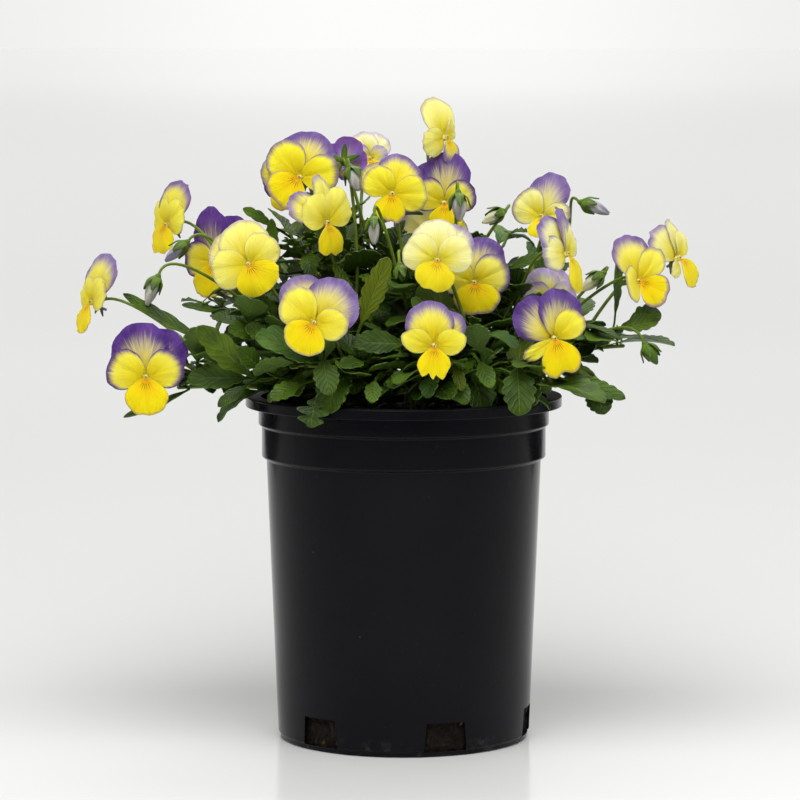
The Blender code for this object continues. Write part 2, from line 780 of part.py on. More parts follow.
def grow():
    """Places every piece and returns each node's bodies, by node name."""
    draw = random.Random(SEED)
    garden = Garden()
    garden.add("pot", pot_body())
    garden.add("potting_mix", mix_body())
    for stem, ends in enumerate(STEMS):
        garden.add(stem_name(stem), stem_body(*ends))
    heads = open_blooms(garden, draw) + set_buds(garden)
    for head in heads:
        raise_stalk(garden, draw, *head)
    for row in SET_LEAVES:
        set_leaf(garden, draw, row)
    for stem in range(len(STEMS)):
        turned = draw.uniform(0, 360)
        for i in range(LEAVES_PER_STEM):
            turned += GOLDEN_ANGLE
            share = LOWEST_LEAF + (1 - LOWEST_LEAF) * i / (LEAVES_PER_STEM - 1)
            grow_leaf(garden, draw, stem, share, turned)
    return garden.nodes


def mesh_object(name, body, finish):
    """A mesh object in metres from a body in millimetres."""
    verts, faces = body
    mesh = bpy.data.meshes.new(name)
    mesh.from_pydata([tuple(v * MM) for v in verts], [], faces)
    mesh.validate()
    mesh.update()
    made = bpy.data.objects.new(name, mesh)
    bpy.context.scene.collection.objects.link(made)
    if finish:
        made.data.materials.append(finish)
    return made


def combine(main, bodies, operation, solver):
    """Joins the bodies to the main object, or cuts them out of it, in one Boolean."""
    others = bpy.data.collections.new("others")
    bpy.context.scene.collection.children.link(others)
    for i, body in enumerate(bodies):
        piece = mesh_object(f"piece_{i}", body, None)
        bpy.context.scene.collection.objects.unlink(piece)
        others.objects.link(piece)
    modifier = main.modifiers.new("combine", "BOOLEAN")
    modifier.operand_type = "COLLECTION"
    modifier.collection = others
    modifier.operation = operation
    modifier.solver = solver
    bpy.context.view_layer.update()
    evaluated = main.evaluated_get(bpy.context.evaluated_depsgraph_get())
    joined = bpy.data.meshes.new_from_object(evaluated)
    main.modifiers.clear()
    old = main.data
    main.data = joined
    bpy.data.meshes.remove(old)
    for piece in list(others.objects):
        mesh = piece.data
        bpy.data.objects.remove(piece, do_unlink=True)
        bpy.data.meshes.remove(mesh)
    bpy.data.collections.remove(others)


def finish_mesh(item):
    """Splits the object's faces into triangles and shades its round parts smooth."""
    work = bmesh.new()
    work.from_mesh(item.data)
    bmesh.ops.triangulate(work, faces=work.faces)
    work.to_mesh(item.data)
    work.free()
    item.data.shade_smooth()
    item.data.set_sharp_from_angle(angle=math.radians(SHARP_ANGLE))


def main():
    """Builds every node."""
    clear_scene()
    plastic = material("pot_plastic", (0.012, 0.012, 0.013), 0.3)
    peat = material("potting_mix", (0.035, 0.022, 0.014), 0.95)
    green = material("leaf_green", (0.055, 0.115, 0.022), 0.45)
    tints = {
        "lemon": material("petal_lemon", (0.86, 0.70, 0.06), 0.6),
        "cream": material("petal_cream", (0.88, 0.80, 0.32), 0.6),
        "lilac": material("petal_lilac", (0.30, 0.16, 0.52), 0.6),
        "slate": material("bud_slate", (0.30, 0.28, 0.40), 0.6),
        "pale": material("bud_pale", (0.62, 0.66, 0.38), 0.6),
    }
    for name, bodies in grow().items():
        if name == "pot":
            item = mesh_object(name, bodies[0], plastic)
            combine(item, slot_bodies(), "DIFFERENCE", "EXACT")
        elif name == "potting_mix":
            item = mesh_object(name, bodies[0], peat)
            combine(item, hole_bodies(), "DIFFERENCE", "EXACT")
        elif name in BLOOMS:
            item = mesh_object(name, bodies[0], tints[BLOOMS[name][-1]])
            combine(item, bodies[1:], "UNION", "EXACT")
        elif name in BUDS:
            item = mesh_object(name, bodies[0], tints[BUDS[name][-1]])
        else:
            item = mesh_object(name, bodies[0], green)
            # EXACT leaves open edges where many stalks meet on a stem
            combine(item, bodies[1:], "UNION", "MANIFOLD")
        finish_mesh(item)


main()
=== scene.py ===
"""Potted horned violet, dressed: fine petals, leaves, stems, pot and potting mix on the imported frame.

Lengths are in millimetres until a mesh is made, and angles are in degrees.
"""

import json
import math
import random

import bpy
import numpy as np
from mathutils import Matrix, Vector, noise
from mathutils.bvhtree import BVHTree

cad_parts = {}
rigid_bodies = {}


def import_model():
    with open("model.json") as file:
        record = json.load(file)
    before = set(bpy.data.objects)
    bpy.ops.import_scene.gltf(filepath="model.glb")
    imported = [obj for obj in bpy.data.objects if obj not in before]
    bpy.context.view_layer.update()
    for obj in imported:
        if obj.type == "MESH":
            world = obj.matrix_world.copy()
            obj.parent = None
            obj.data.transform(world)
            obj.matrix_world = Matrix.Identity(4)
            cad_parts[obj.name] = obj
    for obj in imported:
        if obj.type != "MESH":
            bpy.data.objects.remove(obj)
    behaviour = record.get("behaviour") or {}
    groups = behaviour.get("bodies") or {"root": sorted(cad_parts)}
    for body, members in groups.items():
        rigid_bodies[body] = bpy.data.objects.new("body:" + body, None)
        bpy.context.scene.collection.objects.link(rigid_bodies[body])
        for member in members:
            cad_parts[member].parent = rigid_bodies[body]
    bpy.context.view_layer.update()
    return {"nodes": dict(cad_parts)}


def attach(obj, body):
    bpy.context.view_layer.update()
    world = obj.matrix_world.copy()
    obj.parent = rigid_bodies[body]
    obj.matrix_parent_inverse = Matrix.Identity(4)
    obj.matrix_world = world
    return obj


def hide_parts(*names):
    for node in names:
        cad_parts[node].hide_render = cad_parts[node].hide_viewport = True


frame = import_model()

MM = 0.001
SEED = 7
BLOOM_SEED = 100
STEM_SEED = 500
UP = Vector((0.0, 0.0, 1.0))
PLAIN = (0.0, 0.0, 0.0)

# Clearance of seated pieces, and the least distance that grown ones keep
GAP = 0.3
MARGIN = 0.5

# Camera, fitted to the pot's rim, collar, band and foot
CAMERA_PLACE = (-1.94, -1870.0, 361.0)
CAMERA_PITCH = 5.63
CAMERA_LENS = 162.0

# Pot
POT_HEIGHT = 179.5
LIP_RADIUS = 82.5
LIP_DROP = 5.3
COLLAR_RADIUS = 75.8
COLLAR_FOOT = 164.6
BAND_RADIUS = 74.1
BAND_FOOT = 147.7
BODY_TOP_RADIUS = 71.7
BASE_RADIUS = 65.9
FOOT_INSET = 1.0
FOOT_HEIGHT = 2.4
WALL = 1.2
FLOOR = 2.0
POT_SIDES = 168
POT_SHARP = 40.0
EDGE_RADIUS = 0.7
SLOT_COUNT = 6
SLOT_FIRST = -41.0
SLOT_WIDTH_TOP = 20.5
SLOT_WIDTH_FOOT = 23.0
SLOT_FOOT = 2.6
SLOT_TOP = 17.5
SLOT_INSIDE = 52.0
SLOT_OUTSIDE = 72.0

# Potting mix
MIX_EDGE = 167.5
MIX_CROWN = 172.0
MIX_SIDES = 168
MIX_SIDE_ROWS = 22
MIX_TOP_ROWS = 46
HOLE_DEPTH = 9.0

# Stems and flower stalks, as in the solids
STEM_RADIUS = 1.6
STEM_SIDES = 4
STEM_STEPS = 4
STEM_TAPER = 0.4
STEM_SPREAD = 1.15
STEM_RISE = 0.62
STEM_BOW = 8.0
STALK_RADIUS = 0.85
STALK_SIDES = 3
STALK_STEPS = 4
STALK_TRIES = 60
STALK_REACH = 6.0
STALK_SWING = 0.6
LEAST_ALIGNMENT = 0.4

# Where each stem leaves the mix (x, y) and where it ends (x, y, z)
STEMS = (
    ((-44, -12), (-116, -30, 186)),
    ((-38, 8), (-106, 4, 226)),
    ((-30, -27), (-80, -38, 216)),
    ((-14, -42), (-48, -62, 200)),
    ((-20, -6), (-50, -6, 256)),
    ((-8, 18), (-24, 26, 258)),
    ((5, -14), (0, -14, 246)),
    ((10, -46), (16, -68, 196)),
    ((24, -28), (34, -42, 218)),
    ((22, 2), (32, 0, 246)),
    ((42, -10), (70, 8, 232)),
    ((36, -38), (74, -54, 190)),
    ((47, 12), (114, -12, 206)),
    ((-30, 34), (-76, 52, 222)),
    ((2, 44), (0, 80, 222)),
    ((34, 34), (72, 52, 224)),
)

# Blooms: throat (x, y, z), width, the way it faces (azimuth from the front, lift), roll and stem
BLOOMS = {
    "bloom_01": ((-162, -5, 228), 37, -62, 6, 0, 0),
    "bloom_02": ((-131, -48, 193), 42, 0, 0, 0, 0),
    "bloom_03": ((-124, 15, 267), 36, -58, 4, 0, 1),
    "bloom_04": ((-99, 24, 247), 42, -26, 0, 0, 1),
    "bloom_05": ((-79, -42, 250), 38, 0, 5, 33, 2),
    "bloom_06": ((-54, -8, 293), 42, -8, 8, -28, 4),
    "bloom_07": ((-39, -40, 271), 36, 44, 0, 0, 4),
    "bloom_08": ((-31, 14, 299), 25, 175, -5, 0, 5),
    "bloom_09": ((-18, 40, 301), 26, 6, 10, 0, 5),
    "bloom_10": ((-6, -22, 285), 35, 5, 4, -16, 6),
    "bloom_11": ((22, 10, 313), 31, 66, 5, 0, 9),
    "bloom_12": ((-62, 34, 287), 30, -30, 0, 10, 5),
    "bloom_13": ((21, 4, 279), 36, 4, 0, 0, 9),
    "bloom_14": ((17, -60, 253), 36, 0, 2, -4, 8),
    "bloom_15": ((36, -32, 240), 38, 4, 0, 4, 8),
    "bloom_16": ((15, -86, 212), 34, 4, -4, 4, 7),
    "bloom_17": ((-45, -80, 223), 43, -4, 2, -22, 3),
    "bloom_18": ((72, 8, 272), 36, -24, 12, 10, 10),
    "bloom_19": ((83, -38, 255), 40, 68, 10, 0, 10),
    "bloom_20": ((76, -64, 214), 38, 10, 0, 10, 11),
    "bloom_21": ((76, -8, 228), 30, 12, 0, 0, 11),
    "bloom_22": ((121, -20, 240), 36, 16, 4, 30, 12),
    "bloom_23": ((144, 12, 250), 34, 56, 12, 18, 12),
    "bloom_24": ((-92, 60, 242), 37, -145, 5, 0, 13),
    "bloom_25": ((-42, 88, 246), 38, -170, 0, 0, 13),
    "bloom_26": ((16, 96, 256), 40, 172, 4, 0, 14),
    "bloom_27": ((90, 62, 208), 36, 118, 8, 0, 15),
}

# Numbers that the solids' petals draw, for each bloom, before any stalk draws its own
PETAL_DRAWS = 66

# Colouring of each bloom: how far the violet reaches in from the edge of the left upper, right
# upper, side and lower petals, how deep it is, and how far the yellow pales to cream
BLOOM_TONES = {
    "bloom_01": (0.24, 0.24, 0.05, 0.03, 0.62, 0.20),
    "bloom_02": (0.52, 0.68, 0.17, 0.05, 1.00, 0.10),
    "bloom_03": (0.20, 0.20, 0.04, 0.02, 0.75, 0.12),
    "bloom_04": (0.80, 0.80, 0.20, 0.06, 1.00, 0.10),
    "bloom_05": (0.08, 0.07, 0.05, 0.02, 0.50, 0.40),
    "bloom_06": (0.12, 0.36, 0.13, 0.10, 0.85, 0.00),
    "bloom_07": (0.16, 0.12, 0.02, 0.02, 0.50, 0.30),
    "bloom_08": (0.85, 0.85, 0.70, 0.40, 0.70, 0.10),
    "bloom_09": (0.13, 0.13, 0.40, 0.20, 0.05, 1.00),
    "bloom_10": (0.12, 0.20, 0.08, 0.09, 0.75, 0.05),
    "bloom_11": (0.07, 0.10, 0.03, 0.34, 0.55, 0.55),
    "bloom_12": (0.78, 0.78, 0.30, 0.05, 1.00, 0.10),
    "bloom_13": (0.58, 0.56, 0.20, 0.03, 0.95, 0.20),
    "bloom_14": (0.05, 0.16, 0.03, 0.02, 0.45, 0.95),
    "bloom_15": (0.40, 0.44, 0.17, 0.10, 0.85, 0.30),
    "bloom_16": (0.24, 0.24, 0.05, 0.02, 0.72, 0.10),
    "bloom_17": (0.26, 0.36, 0.08, 0.06, 0.68, 0.15),
    "bloom_18": (0.20, 0.50, 0.12, 0.02, 0.75, 0.80),
    "bloom_19": (0.20, 0.60, 0.14, 0.02, 0.60, 0.95),
    "bloom_20": (0.46, 0.50, 0.09, 0.06, 0.95, 0.10),
    "bloom_21": (0.30, 0.30, 0.30, 0.20, 0.05, 1.00),
    "bloom_22": (0.24, 0.15, 0.10, 0.13, 0.75, 0.20),
    "bloom_23": (0.16, 0.10, 0.03, 0.05, 0.50, 0.70),
    "bloom_24": (0.40, 0.40, 0.10, 0.04, 0.90, 0.15),
    "bloom_25": (0.50, 0.46, 0.14, 0.05, 0.95, 0.10),
    "bloom_26": (0.22, 0.26, 0.06, 0.03, 0.70, 0.30),
    "bloom_27": (0.42, 0.38, 0.10, 0.04, 0.85, 0.10),
}

# Petals: direction from upright, towards the viewer's right; length as a share of the bloom's
# width; half of the fan's angle; how full the fan's shoulders are; height of the layer at the
# throat; how far the petal leans forward; how deep the dent at its tip is
PETALS = {
    "upper_left": (-24, 0.61, 68, 2.1, -1.5, -4, 0.0),
    "upper_right": (26, 0.61, 66, 2.1, -2.2, -7, 0.0),
    "side_left": (-66, 0.50, 64, 2.3, -0.5, 6, 0.0),
    "side_right": (66, 0.50, 64, 2.3, -0.1, 6, 0.0),
    "lower": (180, 0.45, 82, 3.2, 1.2, 15, 0.07),
}

# Petals that differ from the usual form, in the same order; None where one doesn't
OWN_PETALS = {
    "bloom_01": (
        (4, 0.66, 58, 2.0, -2.2, -8, 0.0),
        (8, 0.69, 62, 2.0, -1.5, -3, 0.0),
        (-58, 0.46, 68, 2.2, -0.5, 4, 0.0),
        (58, 0.46, 68, 2.2, -0.1, 4, 0.0),
        (180, 0.46, 60, 2.4, 1.2, 20, 0.0),
    ),
    "bloom_02": (
        (-16, 0.65, 70, 2.1, -1.5, -3, 0.0),
        (36, 0.64, 64, 2.1, -2.2, -6, 0.0),
        (-68, 0.50, 62, 2.3, -0.5, 6, 0.0),
        (66, 0.47, 62, 2.3, -0.1, 6, 0.0),
        (180, 0.48, 68, 2.3, 1.2, 13, 0.05),
    ),
    "bloom_03": (
        (6, 0.65, 60, 1.8, -2.2, -7, 0.0),
        (8, 0.67, 64, 1.8, -1.5, -3, 0.0),
        (-58, 0.50, 68, 2.2, -0.5, 4, 0.0),
        (60, 0.50, 68, 2.2, -0.1, 4, 0.0),
        None,
    ),
    "bloom_04": (
        (-14, 0.70, 56, 1.1, -1.5, -2, 0.0),
        (24, 0.62, 56, 1.9, -2.2, -5, 0.0),
        (-78, 0.46, 62, 2.2, -0.5, 4, 0.0),
        None,
        (190, 0.46, 58, 2.4, 1.2, 12, 0.0),
    ),
    "bloom_05": (
        (-30, 0.56, 66, 2.1, -2.2, -6, 0.0),
        (21, 0.58, 74, 2.2, -1.5, -4, 0.0),
        (-66, 0.50, 66, 2.3, -0.5, 6, 0.0),
        (76, 0.49, 62, 2.3, -0.1, 6, 0.0),
        (178, 0.46, 78, 3.0, 1.2, 13, 0.03),
    ),
    "bloom_06": (
        (-104, 0.50, 60, 2.1, -2.3, -5, 0.0),
        (-16, 0.59, 74, 2.2, -1.5, -3, 0.0),
        (-64, 0.50, 62, 2.3, -0.5, 6, 0.0),
        (52, 0.49, 58, 2.3, -0.1, 6, 0.0),
        (194, 0.43, 74, 2.8, 1.2, 14, 0.04),
    ),
    "bloom_07": (
        (-58, 0.70, 36, 2.1, -1.8, -2, 0.0),
        (-9, 0.69, 24, 2.2, -1.2, 0, 0.0),
        (-52, 0.50, 70, 2.2, -0.5, 6, 0.0),
        (44, 0.56, 64, 2.1, -0.1, 0, 0.0),
        (180, 0.47, 58, 2.6, 1.2, 8, 0.14),
    ),
    "bloom_08": (
        (-22, 0.60, 66, 2.1, -2.2, -4, 0.0),
        (46, 0.52, 56, 2.1, -1.5, -4, 0.0),
        None,
        None,
        (180, 0.34, 50, 2.4, 1.2, 15, 0.0),
    ),
    "bloom_09": (
        None,
        None,
        (-52, 0.38, 52, 2.2, -0.5, 6, 0.0),
        (58, 0.40, 54, 2.2, -0.1, 6, 0.0),
        None,
    ),
    "bloom_10": (
        (-62, 0.56, 56, 2.1, -2.3, -7, 0.0),
        (2, 0.61, 72, 2.1, -1.5, -4, 0.0),
        (-60, 0.50, 62, 2.3, -0.5, 6, 0.0),
        (72, 0.52, 62, 2.3, -0.1, 6, 0.0),
        (175, 0.46, 64, 2.5, 1.2, 14, 0.05),
    ),
    "bloom_11": (
        (-4, 0.68, 66, 2.1, -1.5, -8, 0.0),
        (14, 0.58, 54, 2.0, -2.2, -2, 0.0),
        (-100, 0.52, 60, 2.1, -0.5, -20, 0.0),
        (56, 0.42, 50, 2.0, -0.1, 6, 0.0),
        (178, 0.46, 52, 1.6, 1.2, 8, 0.0),
    ),
    "bloom_13": (
        (-36, 0.66, 48, 2.1, -2.3, -7, 0.0),
        (8, 0.72, 58, 2.1, -1.5, -4, 0.0),
        (-60, 0.50, 60, 2.2, -0.5, 6, 0.0),
        (62, 0.50, 60, 2.2, -0.1, 6, 0.0),
        (180, 0.47, 62, 2.4, 1.2, 14, 0.08),
    ),
    "bloom_14": (
        (-10, 0.59, 72, 2.1, -1.5, -4, 0.0),
        (42, 0.58, 62, 2.1, -2.3, -7, 0.0),
        None,
        None,
        (189, 0.46, 74, 2.8, 1.2, 15, 0.08),
    ),
    "bloom_15": (
        (-36, 0.58, 60, 2.1, -2.3, -7, 0.0),
        (24, 0.64, 64, 2.1, -1.5, -4, 0.0),
        None,
        (70, 0.51, 66, 2.3, -0.1, 6, 0.0),
        (180, 0.46, 84, 3.0, 1.2, 15, 0.10),
    ),
    "bloom_16": (
        (-5, 0.63, 72, 2.1, -1.5, -4, 0.0),
        (46, 0.58, 50, 2.1, -2.3, -7, 0.0),
        (-70, 0.50, 52, 1.3, -0.5, 6, 0.0),
        (78, 0.49, 58, 1.4, -0.1, 6, 0.0),
        (186, 0.50, 62, 2.2, 1.2, 18, 0.0),
    ),
    "bloom_17": (
        (-47, 0.58, 56, 2.1, -2.3, -7, 0.0),
        (24, 0.60, 72, 2.1, -1.5, -4, 0.0),
        (-66, 0.48, 62, 2.3, -0.5, 6, 0.0),
        (70, 0.42, 62, 1.7, -0.1, 10, 0.0),
        (192, 0.41, 76, 2.8, 1.2, 14, 0.03),
    ),
    "bloom_18": (
        (-30, 0.52, 50, 2.1, -2.3, -6, 0.0),
        (20, 0.66, 60, 2.1, -1.5, -3, 0.0),
        (-48, 0.52, 68, 2.2, -0.5, 4, 0.0),
        (96, 0.44, 52, 2.2, -0.1, 6, 0.0),
        (180, 0.38, 56, 2.4, 1.2, 30, 0.0),
    ),
    "bloom_19": (
        (-36, 0.58, 58, 2.1, -1.8, -5, 0.0),
        (8, 0.64, 38, 1.7, -0.6, 2, 0.0),
        (-84, 0.50, 58, 2.2, -0.5, -9, 0.0),
        (50, 0.50, 58, 2.1, -0.1, 4, 0.0),
        (178, 0.52, 56, 2.2, 1.2, 8, 0.0),
    ),
    "bloom_20": (
        (-34, 0.63, 60, 2.1, -2.3, -6, 0.0),
        (22, 0.66, 56, 2.1, -1.5, -4, 0.0),
        (-110, 0.52, 24, 1.8, 0.2, 14, 0.0),
        (56, 0.49, 52, 2.1, -0.1, 6, 0.0),
        (177, 0.53, 60, 2.4, 1.2, 15, 0.14),
    ),
    "bloom_22": (
        (18, 0.70, 54, 1.7, -1.5, -4, 0.0),
        (50, 0.50, 44, 2.0, -2.3, -7, 0.0),
        (-72, 0.48, 74, 2.0, -0.3, 50, 0.0),
        (66, 0.56, 44, 2.0, -0.1, 6, 0.0),
        (151, 0.47, 60, 2.4, 1.2, 12, 0.05),
    ),
    "bloom_23": (
        (-26, 0.64, 58, 2.1, -1.5, -5, 0.0),
        (14, 0.62, 30, 1.8, -1.0, 2, 0.0),
        (-112, 0.40, 34, 2.0, -0.5, 10, 0.0),
        (52, 0.46, 50, 2.1, -0.1, 4, 0.0),
        (172, 0.50, 54, 2.2, 1.2, 12, 0.0),
    ),
    "bloom_25": (
        (-40, 0.58, 60, 2.1, -2.3, -7, 0.0),
        (14, 0.61, 72, 2.1, -1.5, -4, 0.0),
        None,
        None,
        None,
    ),
    "bloom_26": (
        (-12, 0.61, 72, 2.1, -1.5, -4, 0.0),
        (40, 0.60, 64, 2.1, -2.3, -7, 0.0),
        None,
        None,
        None,
    ),
}

# Petals that are turned about their rib, in degrees: the left edge towards the back if positive
TURNED_PETALS = {
    ("bloom_01", "upper_left"): -8,
    ("bloom_01", "upper_right"): -10,
    ("bloom_03", "upper_left"): -8,
    ("bloom_03", "upper_right"): -10,
    ("bloom_11", "upper_left"): 22,
    ("bloom_11", "upper_right"): 16,
    ("bloom_11", "lower"): -24,
    ("bloom_19", "upper_left"): 8,
    ("bloom_23", "upper_left"): 8,
}

# Petals whose tip is torn, and how deeply, as a share of their length
TORN_PETALS = {
    ("bloom_16", "lower"): 0.09,
    ("bloom_10", "lower"): 0.05,
    ("bloom_13", "lower"): 0.07,
}

# Blooms that leaves may hide: those that face away or peep out between others
HIDDEN_BLOOMS = {f"bloom_{number:02d}" for number in (8, 9, 12, 21, 24, 25, 26, 27)}

# Coloured buds: root of the petals, length, thickness, direction, stem and how violet it is
BUDS = {
    "bud_01": ((-114, -4, 258), 13, 5.5, -80, -38, 1, 0.85),
    "bud_02": ((-127, -24, 241), 14, 6.0, -60, -62, 1, 0.45),
    "bud_03": ((28, -24, 284), 13, 7.5, 10, -76, 9, 0.60),
    "bud_04": ((94, 4, 279), 14, 6.0, 84, -18, 10, 0.75),
    "bud_05": ((-27, -14, 297), 12, 7.0, 40, -56, 4, 0.55),
    "bud_06": ((-15, -46, 273), 13, 5.5, 0, -66, 6, 0.55),
    "bud_07": ((50, -14, 275), 12, 5.5, -60, -20, 9, 0.12),
    "bud_08": ((102, -6, 242), 13, 6.0, -72, -32, 12, 0.10),
}

# Green seed pods: place, length, thickness, direction and stem
PODS = (
    ((124, -26, 208), 12, 6.5, 60, -55, 12),
    ((-2, -52, 250), 9, 5.0, 20, -60, 6),
    ((50, 84, 240), 10, 6.0, 160, -50, 14),
)

# Calyx and spur
HUB_BACK = -3.4
SPUR = ((-0.6, -1.0), (-1.5, -3.4), (-2.6, -6.2), (-3.2, -8.5))
SEPALS = 5
SEPAL_REACH = 7.5
SEPAL_NOTCH = 1.7
CALYX_DEPTH = 2.2
CALYX_LIFT = 1.4
OPEN_CALYX = -0.4
CUPPED_CALYX = 3.0
BUD_PROFILE = ((0.0, 0.10), (0.30, 0.50), (0.65, 0.42), (1.0, 0.14))
BUD_SIDES = 5

# Leaves, as in the solids
LEAF_THICKNESS = 0.8
LEAF_STALK_WIDTH = 1.3
LEAF_STALK_SHARE = 0.24
LEAF_FOLD = 0.22
TOOTH_CREST = 0.45
TOOTH_NOTCH = 0.92
NOTCH_DEPTH = 0.82
LEAF_REACH = 8.0
LEAF_TRIES = 16
LEAVES_PER_STEM = 4
LOWEST_LEAF = 0.14
SMALL_LEAF = 36.0
SHORT_LEAF = 26.0
GOLDEN_ANGLE = 137.5

# Ranges of a grown leaf's length, and of its rise, width as a share of that, droop and twist
LEAF_LENGTHS = (26, 40)
LEAF_RANGES = ((15, 65), (0.42, 0.56), (20, 80), (-25, 25))

# Leaves given one by one: stem, share of its height, azimuth from the front, rise, length, width,
# droop, twist and teeth on a side
SET_LEAVES = (
    (8, 0.55, -50, 66, 46, 19, 20, 70, 4),
    (8, 0.30, 22, 35, 44, 20, 118, 0, 4),
    (7, 0.85, -40, 30, 30, 17, 70, 10, 3),
    (7, 0.60, -75, 40, 34, 17, 60, 15, 3),
    (3, 0.55, -14, 20, 40, 19, 118, 0, 4),
    (3, 0.60, -72, 34, 54, 24, 24, -40, 4),
    (2, 0.55, -84, 12, 46, 20, 30, 0, 4),
    (0, 0.50, -70, 8, 40, 17, 62, 0, 3),
    (0, 0.75, -88, 2, 44, 12, 14, 0, 3),
    (11, 0.75, 58, 12, 50, 20, 40, 12, 4),
    (12, 0.90, 70, 20, 40, 20, 34, 0, 4),
    (12, 0.80, 96, 24, 34, 15, 30, 0, 3),
    (10, 0.85, 84, 70, 44, 12, 8, 40, 3),
    (9, 0.85, 30, 52, 32, 22, 30, 50, 3),
    (4, 0.80, -60, 78, 44, 15, 8, 60, 3),
    (4, 0.70, -88, 42, 36, 13, 50, 0, 3),
    (0, 0.34, -75, 14, 44, 18, 40, 0, 3),
    (2, 0.30, -66, 16, 42, 17, 76, 0, 3),
    (1, 0.60, -86, 24, 46, 15, 14, 30, 3),
    (8, 0.62, 48, 44, 40, 15, 84, 0, 3),
    (7, 0.30, 12, 34, 38, 15, 104, 0, 3),
    (7, 0.45, -34, 46, 34, 18, 70, 0, 3),
    (10, 0.90, -34, 62, 34, 16, 30, 0, 3),
)

# Leaves that stand out in front: stem, share of its height, foot and tip of the blade, width, the
# way its face looks (azimuth from the front, lift), how far it sags, teeth on a side and its tone;
# the tone also paints shade on the dark low leaves near the lip and a bluish sheen at its lowest
FRONT_LEAVES = (
    (3, 0.50, (-19, -47, 217), (-3, -45, 256), 14, 0, 8, 2, 6, 0.97),
    (7, 0.75, (0, -62, 211), (-26, -68, 212), 13, -5, 30, 2, 5, 0.35),
    (7, 0.60, (5, -64, 207), (2, -78, 189), 15, 0, 32, 2, 4, 0.92),
    (3, 0.35, (-37, -68, 207), (-33, -82, 187), 15, 0, 28, 2, 5, 0.20),
    (3, 0.20, (-41, -72, 189), (-44, -80, 171), 17, -5, 15, 1, 0, 0.24),
    (2, 0.40, (-71, -52, 197), (-84, -56, 208), 11, -10, 35, 1, 4, 0.40),
    (2, 0.30, (-65, -58, 203), (-75, -66, 190), 11, -10, 30, 2, 4, 0.55),
    (3, 0.25, (-52, -64, 191), (-67, -70, 184), 10, -5, 40, 1, 4, 0.75),
    (2, 0.50, (-67, -50, 212), (-80, -52, 219), 10, -8, 40, 1, 4, 0.28),
    (3, 0.30, (-56, -60, 200), (-58, -70, 186), 9, -5, 20, 1, 4, 0.86),
    (7, 0.30, (-14, -70, 196), (-16, -80, 184), 10, 0, 20, 1, 4, 0.50),
    (7, 0.35, (22, -70, 198), (26, -80, 184), 8, 5, 20, 1, 4, 0.90),
    (8, 0.30, (38, -62, 202), (44, -72, 190), 9, 5, 25, 1, 4, 0.60),
    (11, 0.40, (66, -58, 202), (78, -64, 196), 9, 8, 40, 1, 4, 0.30),
    (11, 0.30, (57, -64, 200), (58, -74, 176), 16.5, 6, 22, 3, 5, 0.30),
    (8, 0.40, (32, -52, 204), (55, -54, 218), 12, 0, 42, 2, 5, 0.60),
    (11, 0.80, (82, -52, 195), (112, -58, 183), 11, 4, 50, -2, 6, 0.55),
    (11, 0.97, (98, -54, 190), (105, -62, 176), 15, 8, 12, 1, 5, 0.40),
    (12, 0.90, (109, -14, 211), (134, -16, 217), 13, 6, 34, 1, 4, 0.45),
    (12, 0.80, (99, -16, 215), (118, -26, 207), 13, 4, 30, 1, 5, 0.40),
    (12, 0.97, (117, -4, 218), (134, 2, 222), 12, 10, 30, 1, 4, 0.70),
    (12, 0.92, (108, -2, 221), (109, -4, 259), 9, 52, 5, 1, 5, 0.40),
    (2, 0.60, (-78, -48, 194), (-104, -62, 220), 14, -8, 20, -2, 4, 0.85),
    (0, 0.50, (-80, -44, 192), (-110, -48, 192), 14, -6, 34, 2, 5, 0.30),
    (0, 0.45, (-80, -52, 189), (-94, -58, 179), 7, 0, 40, 1, 3, 0.40),
    (0, 0.98, (-111, -36, 185), (-143, -42, 172), 7, 0, 60, -2, 4, 0.45),
    (2, 0.97, (-104, -30, 211), (-144, -26, 234), 8, 0, 50, -2, 4, 0.50),
    (4, 0.85, (-62, -6, 249), (-63, -8, 281), 9.5, -10, 5, 1, 5, 0.40),
    (4, 0.97, (-68, -8, 268), (-83, -10, 277), 6.5, 0, 40, 1, 3, 0.70),
    (9, 0.90, (38, -6, 254), (43, -10, 275), 14, 8, 5, 1, 5, 0.12),
    (10, 0.85, (56, -4, 247), (65, -6, 270), 11, 8, 10, 1, 5, 0.35),
    (10, 0.92, (54, -12, 245), (73, -14, 253), 8, 0, 45, 1, 4, 0.50),
    (1, 0.97, (-74, -6, 228), (-92, -10, 235), 11, -6, 35, 1, 4, 0.35),
    (1, 0.90, (-97, -6, 223), (-115, -8, 227), 6, 0, 55, 1, 3, 0.50),
    (2, 0.90, (-72, -42, 215), (-89, -50, 217), 12, 0, 40, 1, 4, 0.45),
)

# Lobes on a side of a lobed leaf, and their depth as a share of its width
LOBES = 3
LOBED = 0.74

# Growth of the fine meshes alone
BRANCHES = 6
BRANCH_RADIUS = 0.95
BRANCH_TRIES = 14
BRANCH_LEAVES = 4
LOW_STEMS = (0, 2, 3, 7, 8, 11)
LOW_LEAVES = 12
MORE_LEAVES = 12
MORE_TRIES = 12
MORE_MARGIN = 0.12
STIPULE_SHARE = 0.7
STIPULE_LENGTH = 18.0

# Ranges: a branch's length, a further leaf's as above, and a stipule's rise, length, width, droop
# and twist
BRANCH_LENGTHS = (20, 46)
MORE_LENGTHS = (24, 38)
MORE_RANGES = ((0, 75), (0.38, 0.54), (10, 90), (-35, 35))
STIPULE_RANGES = ((10, 65), (9, 16), (5, 8), (0, 60), (-30, 30))

# How wide a bloom's view is kept free, as a share of its width
SIGHT = 0.57

# The clump that leaves stay in: lowest spot, height from which they may cross the lip, its reach to
# the side and to the front, and the height of its edge and of the dome on it
LOWEST_SPOT = 158.0
LIP_CLEAR = 184.0
CLUMP_SIDE = 142.0
CLUMP_FRONT = 104.0
CLUMP_EDGE = 200.0
CLUMP_DOME = 92.0

